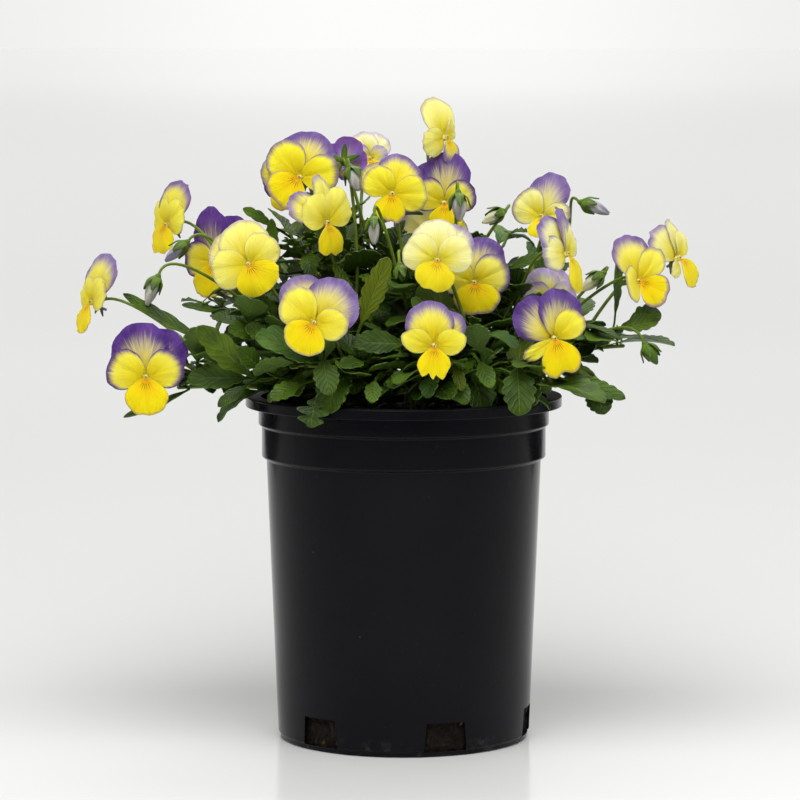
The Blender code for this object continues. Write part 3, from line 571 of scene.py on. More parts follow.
# Fine meshes; a leaf's grid has rows on its stalk, rows on its blade and columns
PETAL_ROWS = 13
PETAL_COLUMNS = 37
PETAL_THICKNESS = 0.32
PETAL_BASE = 0.9
PETAL_SIDE = 0.93
BUD_ROWS = 22
BUD_COLUMNS = 28
LEAF_GRID = (4, 29, 5)
STIPULE_GRID = (2, 11, 3)
BLADE_THICKNESS = 0.45
SEPAL_ROWS = 12
SEPAL_COLUMNS = 5
SEPAL_THICKNESS = 0.4
POD_STEPS = 12
FINE_STEM_STEPS = 22
FINE_STALK_STEPS = 18
TUFT_HAIRS = 6

# The rounded end of a tube, as shares of its radius
CAP_REACH = 0.4
CAP_SIZE = 0.3

# How much of the bloom's cream a petal takes, and how strong its throat lines are
CREAM_SHARES = {"side_left": 0.8, "side_right": 0.8, "lower": 0.25}
THROAT_LINES = {"side_left": 0.15, "side_right": 0.15, "lower": 1.0}

# Parts of a bloom or bud, for its material
FRONT_PART = 1.0
BACK_PART = 0.0
STYLE_PART = -1.0
TUFT_PART = -2.0
BUD_PART = -3.0

# Kinds of surface in the foliage
STALK_KIND = 0.0
LEAF_KIND = 1.0
SEPAL_KIND = 0.5

# Stage, in metres: corners of the floor and of the black mats that the pot mirrors, and the painted
# shadow on the floor behind the pot
FLOOR_CORNERS = ((-400.0, -400.0), (400.0, 400.0))
MAT_HEIGHT = 0.002
MATS = {
    "mat_front": ((-2.1, -6.0), (2.1, -1.55)),
    "mat_left": ((-6.0, 0.68), (-0.7, 1.4)),
    "mat_right": ((0.7, 0.68), (6.0, 1.4)),
}
SHADE_WIDTH = 0.20
SHADE_FROM = 0.13
SHADE_LENGTH = 0.35

# Lights: name, place, target, size and power
LIGHTS = (
    ("key", (-60, -800, 1500), (0, 0, 210), 1100, 24.0),
    ("fill", (900, -900, 900), (0, 0, 200), 900, 1.8),
    ("back", (200, 900, 1500), (0, 0, 240), 1100, 9.0),
)


def srgb(red, green, blue):
    """A colour of 0 to 255 as the screen shows it, in linear light."""
    made = []
    for value in (red, green, blue):
        share = value / 255
        made.append(share / 12.92 if share <= 0.04045 else ((share + 0.055) / 1.055) ** 2.4)
    return (*made, 1.0)


# Growth: the same rule, bodies and draws as in the solids


def curve(start, bend, end, share):
    """A point on the curve that leaves its start towards the bend, and reaches its end from there."""
    return start.lerp(bend, share).lerp(bend.lerp(end, share), share)


def ring_faces(rings, sides, start):
    """Quads between rings of points, one ring after the other."""
    made = []
    for i in range(rings - 1):
        for k in range(sides):
            a = start + i * sides + k
            b = start + i * sides + (k + 1) % sides
            made.append((a, b, b + sides, a + sides))
    return made


def tube_faces(rings, sides):
    """Faces of a tube, flat at both ends."""
    last = (rings - 1) * sides
    return ring_faces(rings, sides, 0) + [tuple(range(sides))[::-1], tuple(range(last, last + sides))]


def tube(points, radii, sides, side=None):
    """A closed tube through the points, flat at both ends; side is where its first edge lies."""
    verts = []
    last = len(points) - 1
    for i, point in enumerate(points):
        ahead = (points[min(i + 1, last)] - points[max(i - 1, 0)]).normalized()
        if side is None:
            side = ahead.orthogonal().normalized()
        else:
            side = (side - ahead * side.dot(ahead)).normalized()
        across = ahead.cross(side)
        for k in range(sides):
            turn = math.tau * k / sides
            verts.append(point + (side * math.cos(turn) + across * math.sin(turn)) * radii[i])
    return verts, tube_faces(len(points), sides)


def slab(points, normals, triangles, border, thickness):
    """A blade: the same triangles on both faces, and a wall round the border."""
    count = len(points)
    half = thickness / 2
    verts = [p + n * half for p, n in zip(points, normals)]
    verts += [p - n * half for p, n in zip(points, normals)]
    faces = list(triangles)
    faces += [(c + count, b + count, a + count) for a, b, c in triangles]
    for i, a in enumerate(border):
        b = border[(i + 1) % len(border)]
        faces.append((a + count, b + count, b))
        faces.append((a + count, b, a))
    return verts, faces


def zip_rows(ribs, edge, along):
    """Triangles between the line of ribs and the edge to its right, which end at the same tip."""
    made = []
    i = 0
    j = 0
    while j < len(edge) - 1:
        edge_first = along[edge[j + 1]] <= along[ribs[i + 1]] and j < len(edge) - 2
        if edge_first or i == len(ribs) - 2:
            made.append((ribs[i], edge[j], edge[j + 1]))
            j += 1
        else:
            made.append((ribs[i], edge[j], ribs[i + 1]))
            i += 1
    return made


def blade(edge, ribs, tip, place, thickness):
    """A closed blade with the same outline on both sides of its rib."""
    rows = len(edge)
    spots = [(-across, along) for along, across in edge]
    spots += [(across, along) for along, across in edge]
    spots += [(0.0, along) for along in ribs]
    spots.append((0.0, tip))
    left = list(range(rows))
    right = list(range(rows, 2 * rows))
    middle = list(range(2 * rows, len(spots)))
    end = middle[-1]
    along = [spot[1] for spot in spots]
    triangles = [(left[0], right[0], right[1]), (left[0], right[1], left[1])]
    triangles.append((left[1], right[1], middle[0]))
    triangles += zip_rows(middle, right[1:] + [end], along)
    triangles += [(a, c, b) for a, b, c in zip_rows(middle, left[1:] + [end], along)]
    placed = [place(across, s) for across, s in spots]
    border = right + [end] + left[::-1]
    return slab([p for p, n in placed], [n for p, n in placed], triangles, border, thickness)


def swollen(body, margin):
    """The body with its points moved out by the margin."""
    verts, faces = body
    normals = [Vector() for _ in verts]
    for face in faces:
        a, b, c = (verts[index] for index in face[:3])
        normal = (b - a).cross(c - a).normalized()
        for index in face:
            normals[index] += normal
    return [v + n.normalized() * margin for v, n in zip(verts, normals)], faces


def extent(verts):
    """The lowest and the highest corner of the box round the points."""
    return [min(v[i] for v in verts) for i in range(3)], [max(v[i] for v in verts) for i in range(3)]


class Garden:
    """What stands already, so that whatever grows next keeps clear of it."""

    def __init__(self):
        self.standing = []

    def add(self, owner, body):
        """Plants a body, and notes the node that it belongs to."""
        self.standing.append((owner, *extent(body[0]), BVHTree.FromPolygons(*body)))

    def is_clear(self, owner, body, root, reach, margin=MARGIN):
        """True if the body meets nothing; within reach of its root it may meet its own node."""
        verts, faces = swollen(body, margin)
        low, high = extent(verts)
        tree = BVHTree.FromPolygons(verts, faces)
        far = [f for f in faces if all((verts[k] - root).length > reach for k in f)]
        outer = BVHTree.FromPolygons(verts, far) if far else None
        for other, other_low, other_high, standing in self.standing:
            if any(low[i] > other_high[i] or high[i] < other_low[i] for i in range(3)):
                continue
            mine = outer if other == owner else tree
            if mine and mine.overlap(standing):
                return False
        return True


def facing(azimuth, lift, roll):
    """The turn that points local +Z along the azimuth and lift, with local +Y upright."""
    upright = Matrix(((1, 0, 0), (0, 0, -1), (0, 1, 0)))
    turn = Matrix.Rotation(math.radians(azimuth), 3, "Z")
    tilt = Matrix.Rotation(math.radians(-lift), 3, "X")
    spin = Matrix.Rotation(math.radians(roll), 3, "Z")
    return turn @ upright @ tilt @ spin


def level_way(turned):
    """The level direction at an azimuth from the front, in radians."""
    return Vector((math.sin(turned), -math.cos(turned), 0.0))


def mix_height(radius):
    """Height of the mounded top of the potting mix."""
    return MIX_CROWN + (MIX_EDGE - MIX_CROWN) * (radius / BAND_RADIUS) ** 2


def stem_curve(root, tip, share):
    """A point on a stem: straight out of the mix, then bowed out to its tip."""
    end = Vector(tip)
    height = MIX_CROWN + STEM_RISE * (end.z - MIX_CROWN) + STEM_BOW
    bend = Vector((root[0] * STEM_SPREAD, root[1] * STEM_SPREAD, height))
    return curve(Vector((*root, MIX_CROWN)), bend, end, share)


def stem_points(root, tip, steps):
    """The stem's line, from the bottom of its hole in the mix to its tip."""
    hole_floor = mix_height(math.hypot(*root)) - HOLE_DEPTH
    return [Vector((*root, hole_floor + GAP))] + [stem_curve(root, tip, i / steps) for i in range(steps + 1)]


def tapered(radius, start, drop, count):
    """Radii that begin at a share of the radius, and drop by a share of it to the end."""
    return [radius * (start - drop * i / (count - 1)) for i in range(count)]


def stalk_points(start, end, axis, rise, sideways, steps):
    """The route of a flower stalk that climbs from its stem and hooks over into the calyx."""
    climb = (end - start).length
    lean = start + ((end - start) * 0.3 + UP * rise * climb + sideways)
    hook = end - axis * min(12.0, 0.4 * climb) + UP * min(8.0, 0.25 * climb)
    points = []
    for i in range(steps + 1):
        t = 1 - (1 - i / steps) ** 1.5
        points.append(curve(start, lean, hook, t).lerp(curve(lean, hook, end, t), t))
    return points


def head_body(points, centre, turn, forward):
    """A flower stalk that opens at its end into the calyx, a star of sepals."""
    verts, faces = tube(points, [STALK_RADIUS] * len(points), STALK_SIDES)
    faces.pop()
    first = len(verts)
    inner = list(range(first - STALK_SIDES, first))
    count = 2 * SEPALS
    for i in range(count):
        turned = math.radians(90 + 180 / SEPALS * i)
        reach = SEPAL_NOTCH if i % 2 else SEPAL_REACH
        lift = 0.0 if i % 2 else forward
        verts.append(centre + turn @ Vector((reach * math.cos(turned), reach * math.sin(turned), lift)))
    verts.append(centre)
    outer = list(range(first, first + count))
    faces += bridge(verts, inner, outer, centre, turn)
    faces += [(outer[i], outer[(i + 1) % count], first + count) for i in range(count)]
    return verts, faces


def bridge(verts, inner, outer, centre, turn):
    """Triangles between two rings that both run anticlockwise about the axis."""
    flat = turn.transposed()

    def angle(index):
        local = flat @ (verts[index] - centre)
        return math.atan2(local.y, local.x) % math.tau

    inner = sorted(inner, key=angle)
    outer = sorted(outer, key=angle)
    made = []
    i = 0
    j = 0
    while i < len(inner) or j < len(outer):
        a = inner[i % len(inner)]
        b = outer[j % len(outer)]
        turn_inner = angle(inner[i + 1]) if i + 1 < len(inner) else angle(inner[0]) + math.tau
        turn_outer = angle(outer[j + 1]) if j + 1 < len(outer) else angle(outer[0]) + math.tau
        if j == len(outer) or (i < len(inner) and turn_inner < turn_outer):
            made.append((a, inner[(i + 1) % len(inner)], b))
            i += 1
        else:
            made.append((a, outer[(j + 1) % len(outer)], b))
            j += 1
    return made


def pod_body(place, turn, length, thickness):
    """A spindle that is fullest near its root and blunt at its tip."""
    axis = turn @ UP
    points = [place + axis * length * along for along, _ in BUD_PROFILE]
    return tube(points, [thickness * share for _, share in BUD_PROFILE], BUD_SIDES)


class Leaf:
    """One leaf: where it grows and the way it heads, rises, droops and twists."""

    # For the fine meshes: its tone (with painted shade and sheen), teeth on a side and depth of its lobes,
    # drawn where not given
    tone = None
    crests = 0
    lobes = 0.0

    def __init__(self, base, azimuth, rise, length, width, droop, twist, teeth):
        self.base = base
        self.rise = math.radians(rise)
        self.length = length
        self.width = width
        self.droop = math.radians(droop)
        self.twist = math.radians(twist)
        self.teeth = teeth
        self.stalk = LEAF_STALK_SHARE * length
        self.ahead = level_way(math.radians(azimuth))

    def spot(self, across, along):
        """The point and the normal at a place on the leaf."""
        rate = -self.droop / self.length
        pitch = self.rise + rate * along
        if abs(self.droop) < 0.01:
            forward = math.cos(self.rise) * along
            upward = math.sin(self.rise) * along
        else:
            forward = (math.sin(pitch) - math.sin(self.rise)) / rate
            upward = (math.cos(self.rise) - math.cos(pitch)) / rate
        centre = self.base + self.ahead * forward + UP * upward
        heading = self.ahead * math.cos(pitch) + UP * math.sin(pitch)
        flat = UP * math.cos(pitch) - self.ahead * math.sin(pitch)
        side = heading.cross(flat)
        turned = self.twist * min(1.0, 2.5 * along / self.length)
        normal = flat * math.cos(turned) + side * math.sin(turned)
        level = side * math.cos(turned) - flat * math.sin(turned)
        return centre + level * across + normal * (abs(across) * LEAF_FOLD), normal

    def body(self):
        """The closed blade with its stalk and its rounded teeth."""
        plate = self.length - self.stalk
        half_stalk = LEAF_STALK_WIDTH / 2
        edge = [(0.0, half_stalk), (self.stalk, half_stalk)]
        for tooth in range(self.teeth):
            crest = (tooth + TOOTH_CREST) / self.teeth
            edge.append((self.stalk + plate * crest, self.half_width(crest)))
            if tooth < self.teeth - 1:
                notch = (tooth + TOOTH_NOTCH) / self.teeth
                edge.append((self.stalk + plate * notch, NOTCH_DEPTH * self.half_width(notch)))
        ribs = [self.stalk + plate * share for share in ((0.35, 0.72) if self.teeth > 2 else (0.5,))]
        return blade(edge, ribs, self.length, self.spot, LEAF_THICKNESS)

    def half_width(self, share):
        """Half the width of the blade at a share of its length."""
        return 0.5 * self.width * math.sin(math.pi * share**0.85) ** 0.65


class FrontLeaf(Leaf):
    """A leaf whose blade lies between a foot and a tip, on a stalk that bends out to it."""

    def __init__(self, base, foot, tip, width, azimuth, lift, sag, teeth, tone):
        self.base = base
        self.foot = foot
        self.tip = tip
        self.face = facing(azimuth, lift, 0) @ UP
        self.sag = sag
        self.width = width
        self.teeth = max(2, teeth // 2 + 1)
        self.crests = teeth
        self.lobes = 0.0 if teeth else LOBED
        self.tone = tone
        self.stalk = (foot - base).length
        self.length = self.stalk + (tip - foot).length
        self.ahead = Vector((tip.x - foot.x, tip.y - foot.y, 0.0)).normalized()

    def line(self, along):
        """The point and the heading at a length along the stalk and the rib."""
        if along < self.stalk:
            start = self.base
            end = self.foot
            bend = end - (self.tip - self.foot).normalized() * 0.45 * self.stalk
            t = along / self.stalk
        else:
            start = self.foot
            end = self.tip
            bend = start.lerp(end, 0.5) + self.face * self.sag
            t = min(1.0, (along - self.stalk) / (self.length - self.stalk))
        return curve(start, bend, end, t), (bend - start).lerp(end - bend, t).normalized()

    def spot(self, across, along):
        """The point and the normal at a place on the leaf."""
        place, heading = self.line(along)
        side = heading.cross(self.face).normalized()
        normal = side.cross(heading)
        return place + side * across + normal * (abs(across) * LEAF_FOLD), normal

    def body(self):
        """The closed blade with its stalk and its rounded teeth."""
        half_stalk = LEAF_STALK_WIDTH / 2
        plate = self.length - self.stalk
        edge = [(0.0, half_stalk), (self.stalk * 0.5, half_stalk), (self.stalk, half_stalk)]
        for tooth in range(self.teeth):
            crest = (tooth + TOOTH_CREST) / self.teeth
            edge.append((self.stalk + plate * crest, self.half_width(crest)))
        ribs = [self.stalk * 0.5, self.stalk, self.stalk + plate * 0.5]
        return blade(edge, ribs, self.length, self.spot, LEAF_THICKNESS)


def new_object(name, data):
    """Makes an object in the scene."""
    made = bpy.data.objects.new(name, data)
    bpy.context.scene.collection.objects.link(made)
    return made


def stem_name(stem):
    """The node that a stem and what grows from it belong to."""
    return f"leafy_stem_{stem + 1:02d}"


def node_body(name):
    """A solid of the frame, in millimetres."""
    mesh = frame["nodes"][name].data
    return [v.co / MM for v in mesh.vertices], [tuple(p.vertices) for p in mesh.polygons]


class Growth:
    """Grows stalks and leaves by the solids' rule, and keeps what was grown for the fine meshes."""

    def __init__(self):
        self.draw = random.Random(SEED)
        self.garden = Garden()
        self.stalks, self.leaves, self.branches, self.stipules = ([[] for _ in STEMS] for _ in range(4))
        for name in ("pot", "potting_mix"):
            self.garden.add(name, node_body(name))
        for stem, ends in enumerate(STEMS):
            points = stem_points(*ends, STEM_STEPS)
            radii = tapered(STEM_RADIUS, 1, STEM_TAPER, len(points))
            self.garden.add(stem_name(stem), tube(points, radii, STEM_SIDES))
        for _ in range(PETAL_DRAWS * len(BLOOMS)):
            self.draw.random()
        for head in self.plant_heads():
            self.raise_stalk(*head)
        for row in SET_LEAVES:
            self.set_leaf(*row)
        for stem in range(len(STEMS)):
            turned = self.draw.uniform(0, 360)
            for i in range(LEAVES_PER_STEM):
                turned += GOLDEN_ANGLE
                share = LOWEST_LEAF + (1 - LOWEST_LEAF) * i / (LEAVES_PER_STEM - 1)
                self.grow_leaf(stem, share, turned)

    def plant_heads(self):
        """Plants blooms, buds and pods; gives each one's stem, calyx, turn, lift and thickness."""
        heads = []
        for name, (place, _, azimuth, lift, roll, stem) in BLOOMS.items():
            turn = facing(azimuth, lift, roll)
            self.garden.add(name, node_body(name))
            centre = Vector(place) + turn @ Vector((0.0, CALYX_LIFT, HUB_BACK - GAP))
            heads.append((stem, centre, turn, OPEN_CALYX, 0.0))
        for name, (place, _, thickness, azimuth, lift, stem, _) in BUDS.items():
            turn = facing(azimuth, lift, 0)
            self.garden.add(name, node_body(name))
            centre = Vector(place) - turn @ Vector((0.0, 0.0, 2 * GAP))
            heads.append((stem, centre, turn, CUPPED_CALYX, thickness))
        for place, length, thickness, azimuth, lift, stem in PODS:
            turn = facing(azimuth, lift, 0)
            self.garden.add(stem_name(stem), pod_body(Vector(place), turn, length, thickness))
            heads.append((stem, Vector(place) + turn @ UP, turn, CUPPED_CALYX, thickness))
        return heads

    def raise_stalk(self, stem, centre, turn, forward, thickness):
        """Grows one flower stalk with its calyx, swinging it out further until it is clear."""
        draw = self.draw
        axis = turn @ UP
        end = centre - axis * CALYX_DEPTH
        for attempt in range(STALK_TRIES):
            start = stem_curve(*STEMS[stem], draw.uniform(0.35, 0.95))
            swing = STALK_SWING * attempt
            sideways = Vector((draw.uniform(-1, 1), draw.uniform(-1, 1), 0.0)) * swing
            route = (start, end, axis, draw.uniform(0.05, 0.25), sideways)
            points = stalk_points(*route, STALK_STEPS)
            if (points[-1] - points[-2]).normalized().dot(axis) < LEAST_ALIGNMENT:
                continue
            stalk = tube(points, [STALK_RADIUS] * len(points), STALK_SIDES)
            if self.garden.is_clear(stem_name(stem), stalk, start, STALK_REACH):
                break
        self.garden.add(stem_name(stem), head_body(points, centre, turn, forward))
        self.stalks[stem].append((route, centre, turn, forward, thickness))

    def set_leaf(self, stem, share, azimuth, rise, length, width, droop, twist, teeth):
        """Grows one leaf near where its row sets it."""
        base = stem_curve(*STEMS[stem], share)
        for attempt in range(2 * LEAF_TRIES):
            slack = 3.0 * attempt
            size = 1 - 0.01 * attempt
            heading = azimuth + self.draw.uniform(-1, 1) * slack
            climb = rise + self.draw.uniform(-0.5, 0.5) * slack
            turned = twist + self.draw.uniform(-1, 1) * slack
            leaf = Leaf(base, heading, climb, length * size, width * size, droop, turned, teeth)
            if self.plant_leaf(stem, leaf):
                return

    def drawn_leaf(self, base, azimuth, swing, length, teeth, ranges):
        """A leaf of a given length whose heading, rise, width, droop and twist are drawn."""
        heading = azimuth + self.draw.uniform(-1, 1) * swing
        rise, width, droop, twist = (self.draw.uniform(*ends) for ends in ranges)
        return Leaf(base, heading, rise, length, length * width, droop, twist, teeth)

    def grow_leaf(self, stem, share, turned):
        """Grows one leaf, smaller at each try, where there is room for it."""
        base = stem_curve(*STEMS[stem], share)
        for attempt in range(LEAF_TRIES):
            length = self.draw.uniform(*LEAF_LENGTHS) * (1 - 0.025 * attempt)
            teeth = 3 if length > SMALL_LEAF else 2
            leaf = self.drawn_leaf(base, turned, 10 + 12 * attempt, length, teeth, LEAF_RANGES)
            if self.plant_leaf(stem, leaf):
                return

    def plant_leaf(self, stem, leaf, margin=MARGIN, in_view=False):
        """Adds the leaf to its stem if it is clear of everything else, and of the view if need be."""
        body = leaf.body()
        if in_view and self.hides_bloom(body[0]):
            return False
        if not self.garden.is_clear(stem_name(stem), body, leaf.base, LEAF_REACH, margin):
            return False
        self.garden.add(stem_name(stem), body)
        self.leaves[stem].append(leaf)
        return True

    def thicken(self):
        """Grows what the solids leave out: leaves in front, branches, more leaves and stipules."""
        self.draw = random.Random(SEED + 1)
        for row in FRONT_LEAVES:
            self.front_leaf(*row)
        for stem in range(len(STEMS)):
            for _ in range(BRANCHES):
                self.grow_branch(stem)
        for stem in range(len(STEMS)):
            turned = self.draw.uniform(0, 360)
            for i in range(MORE_LEAVES):
                turned += GOLDEN_ANGLE
                share = 0.04 + 0.94 * (i + self.draw.random()) / MORE_LEAVES
                self.more_leaf(stem, stem_curve(*STEMS[stem], share), turned)
        for stem in LOW_STEMS:
            turned = self.draw.uniform(0, 360)
            for i in range(LOW_LEAVES):
                turned += GOLDEN_ANGLE
                self.more_leaf(stem, stem_curve(*STEMS[stem], 0.06 + 0.6 * i / LOW_LEAVES), turned)
        for stem in range(len(STEMS)):
            for leaf in self.leaves[stem]:
                if self.draw.random() < STIPULE_SHARE:
                    self.grow_stipules(stem, leaf)

    def front_leaf(self, stem, share, foot, tip, width, azimuth, lift, sag, teeth, tone):
        """Sets one leaf in front, shorter at each try until it is clear."""
        base = stem_curve(*STEMS[stem], share)
        foot = Vector(foot)
        tip = Vector(tip)
        for attempt in range(LEAF_TRIES):
            slack = Vector([self.draw.uniform(-1, 1) * 0.5 * attempt for _ in range(3)])
            size = 1 - 0.02 * attempt
            end = foot + (tip - foot) * size + slack
            leaf = FrontLeaf(base, foot + slack, end, width * size, azimuth, lift, sag, teeth, tone)
            if self.plant_leaf(stem, leaf, 0.0, True):
                return

    def grow_branch(self, stem):
        """Grows a side branch with leaves of its own, where there is room for it."""
        draw = self.draw
        for attempt in range(BRANCH_TRIES):
            start = stem_curve(*STEMS[stem], draw.uniform(0.15, 0.95))
            out = level_way(math.radians(draw.uniform(0, 360)))
            length = draw.uniform(*BRANCH_LENGTHS) * (1 - 0.03 * attempt)
            bend = start + out * length * 0.55 + UP * length * draw.uniform(0.0, 0.3)
            end = bend + out * length * draw.uniform(0.0, 0.35) + UP * length * draw.uniform(0.2, 0.6)
            points = [curve(start, bend, end, i / 4) for i in range(5)]
            body = tube(points, [BRANCH_RADIUS] * 5, STALK_SIDES)
            if not self.in_shape(end) or self.hides_bloom(points):
                continue
            if self.garden.is_clear(stem_name(stem), body, start, STALK_REACH, MORE_MARGIN):
                break
        else:
            return
        self.garden.add(stem_name(stem), body)
        self.branches[stem].append(points)
        heading = draw.uniform(0, 360)
        for i in range(BRANCH_LEAVES):
            heading += GOLDEN_ANGLE
            share = 0.35 + 0.63 * (i + draw.random()) / BRANCH_LEAVES
            self.more_leaf(stem, curve(start, bend, end, share), heading)

    def more_leaf(self, stem, base, turned):
        """Grows one more leaf, smaller at each try, where there is room for it."""
        for attempt in range(MORE_TRIES):
            length = self.draw.uniform(*MORE_LENGTHS) * (1 - 0.045 * attempt)
            teeth = 3 if length > SHORT_LEAF else 2
            leaf = self.drawn_leaf(base, turned, 15 + 14 * attempt, length, teeth, MORE_RANGES)
            if self.in_shape(leaf.spot(0.0, length)[0]) and self.plant_leaf(stem, leaf, MORE_MARGIN, True):
                return

    def hides_bloom(self, points):
        """True if any of the points stands between the camera and a bloom that should show."""
        for name, (throat, width, azimuth, _, _, _) in BLOOMS.items():
            if name in HIDDEN_BLOOMS:
                continue
            wide = SIGHT * width * max(0.45, math.cos(math.radians(azimuth)))
            for point in points:
                if point.y > throat[1] - 1:
                    continue
                scale = (throat[1] - CAMERA_PLACE[1]) / (point.y - CAMERA_PLACE[1])
                x = CAMERA_PLACE[0] + (point.x - CAMERA_PLACE[0]) * scale - throat[0]
                z = CAMERA_PLACE[2] + (point.z - CAMERA_PLACE[2]) * scale - throat[2]
                if (x / wide) ** 2 + ((z - 0.05 * width) / (SIGHT * width)) ** 2 < 1:
                    return True
        return False

    def in_shape(self, place):
        """True if a place is above the mix and not among the flowers on top."""
        if place.z < LOWEST_SPOT:
            return False
        if place.z < LIP_CLEAR and math.hypot(place.x, place.y) < LIP_RADIUS + 2:
            return False
        across = (place.x / CLUMP_SIDE) ** 2 + (place.y / CLUMP_FRONT) ** 2
        return across < 1 and place.z < CLUMP_EDGE + CLUMP_DOME * (1 - across) ** 0.6

    def grow_stipules(self, stem, leaf):
        """Grows a lobed stipule on each side of a leaf's foot, where there is room for it."""
        draw = self.draw
        heading = math.degrees(math.atan2(leaf.ahead.x, -leaf.ahead.y))
        for way in (-1, 1):
            turned = heading + way * draw.uniform(35, 80)
            rise, length, width, droop, twist = (draw.uniform(*ends) for ends in STIPULE_RANGES)
            stipule = Leaf(leaf.base, turned, rise, length, width, droop, twist, 2)
            stipule.lobes = LOBED
            if self.garden.is_clear(stem_name(stem), stipule.body(), leaf.base, 2 * LEAF_REACH, 0.0):
                self.stipules[stem].append(stipule)


# Fine meshes


class Piece:
    """Points, faces and values at the points of one piece."""

    def __init__(self):
        self.points = []
        self.faces = []
        self.values = {"grain": [], "look": [], "more": []}
        self.count = 0

    def add(self, points, faces, grain, look, more=PLAIN):
        """Adds points of shape (n, 3) with their values, and faces that count from 0."""
        points = np.asarray(points, dtype=np.float64).reshape(-1, 3)
        self.points.append(points)
        self.faces += [tuple(i + self.count for i in face) for face in faces]
        for kept, values in zip(self.values.values(), (grain, look, more)):
            kept.append(np.broadcast_to(np.asarray(values, dtype=np.float64), points.shape))
        self.count += len(points)

    def build(self, node, material, angle=50.0):
        """Makes the object for a node, in metres, with its values as attributes."""
        mesh = bpy.data.meshes.new(f"fine_{node}")
        mesh.from_pydata((np.concatenate(self.points) * MM).tolist(), [], self.faces)
        for title, kept in self.values.items():
            layer = mesh.attributes.new(title, "FLOAT_VECTOR", "POINT")
            layer.data.foreach_set("vector", np.concatenate(kept).ravel())
        mesh.materials.append(material)
        mesh.shade_smooth()
        mesh.set_sharp_from_angle(angle=math.radians(angle))
        return new_object(f"fine_{node}", mesh)


def dress(made, node):
    """Puts a fine piece in the place of its node."""
    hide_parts(node)
    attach(made, "root")


def grid_faces(rows, columns, start, flip):
    """Quads of a grid whose points run along the columns, row by row."""
    made = []
    for i in range(rows - 1):
        for j in range(columns - 1):
            a = start + i * columns + j
            quad = (a, a + 1, a + 1 + columns, a + columns)
            made.append(quad[::-1] if flip else quad)
    return made


def on_both(values, count):
    """Values for a sheet's points: one row for its front, one for its back."""
    return np.repeat(np.array(values, dtype=np.float64), count, axis=0)


def add_sheet(piece, points, thickness, grain, looks, mores=(PLAIN, PLAIN)):
    """Adds a closed thin sheet from a grid of points; its columns run across, its rows along."""
    rows, columns = points.shape[:2]
    normals = np.cross(np.gradient(points, axis=1), np.gradient(points, axis=0))
    normals /= np.maximum(np.linalg.norm(normals, axis=2, keepdims=True), 1e-9)
    half = normals * thickness / 2
    count = rows * columns
    faces = grid_faces(rows, columns, 0, False) + grid_faces(rows, columns, count, True)
    border = list(range(columns))
    border += [i * columns + columns - 1 for i in range(1, rows)]
    border += [(rows - 1) * columns + j for j in range(columns - 2, -1, -1)]
    border += [i * columns for i in range(rows - 2, 0, -1)]
    for i, a in enumerate(border):
        b = border[(i + 1) % len(border)]
        faces.append((a + count, b + count, b, a))
    both = np.concatenate([(points + half).reshape(-1, 3), (points - half).reshape(-1, 3)])
    grains = np.concatenate([grain.reshape(-1, 3)] * 2)
    piece.add(both, faces, grains, on_both(looks, count), on_both(mores, count))


def add_tube(piece, points, radii, sides, look, number, more=PLAIN):
    """Adds a round tube with rounded ends; grain runs round and along it."""
    start = points[0] - (points[1] - points[0]).normalized() * radii[0] * CAP_REACH
    end = points[-1] + (points[-1] - points[-2]).normalized() * radii[-1] * CAP_REACH
    sizes = [radii[0] * CAP_SIZE, *radii, radii[-1] * CAP_SIZE]
    verts, faces = tube([start, *points, end], sizes, sides)
    last = len(sizes) - 1
    grain = [(k / sides, i / last, number) for i in range(last + 1) for k in range(sides)]
    piece.add([tuple(v) for v in verts], faces, grain, look, more)


def place_points(points, place, turn):
    """Points of a local frame, placed and turned."""
    matrix = np.array([list(row) for row in turn])
    return points @ matrix.T + np.array(place, dtype=np.float64)


def petal_edge(form, size, torn, fan, phase, draw):
    """How far a petal reaches on each ray of its fan: rounded, dented, frilled and maybe torn."""
    fullness = form[3]
    dent = form[6]
    skew = draw.uniform(-0.07, 0.07)
    reach = size * (1 - np.abs(fan) ** fullness) ** 0.5 * (1 + skew * fan)
    reach *= 1 - dent * np.exp(-((fan / 0.13) ** 2))
    frill = 0.014 * np.sin(7 * fan + phase) + 0.009 * np.sin(19 * fan + 2 * phase)
    frill += np.array([draw.uniform(-0.010, 0.010) for _ in fan])
    reach *= 1 + frill
    reach *= 1 - torn * (1 + np.sin(13 * fan + 2.6 * np.sin(5 * fan) + phase)) * (1 - fan**2)
    return np.maximum(reach, PETAL_BASE * 1.3)


def petal_relief(size, fan, radius, off_rib, phase):
    """How far a petal's face stands out: arched, waved towards its edge, creased along its rib."""
    share = radius / size
    arch = np.sin(math.pi * np.clip(share, 0, 1))
    relief = 0.05 * size * arch - 0.10 * size * share**4 - 0.10 * off_rib**2 / size
    relief += 0.026 * size * np.sin(3.1 * math.pi * fan + phase) * share**2.5
    relief += 0.020 * size * np.sin(7.3 * math.pi * fan + 3 * phase) * share**4
    relief += 0.010 * size * np.sin(12.7 * math.pi * fan + 5 * phase) * share**6
    relief -= 0.45 * np.exp(-((fan / 0.10) ** 2)) * arch * size / 22
    return relief - 1.2 * np.exp(-((radius - PETAL_BASE) / 1.4))


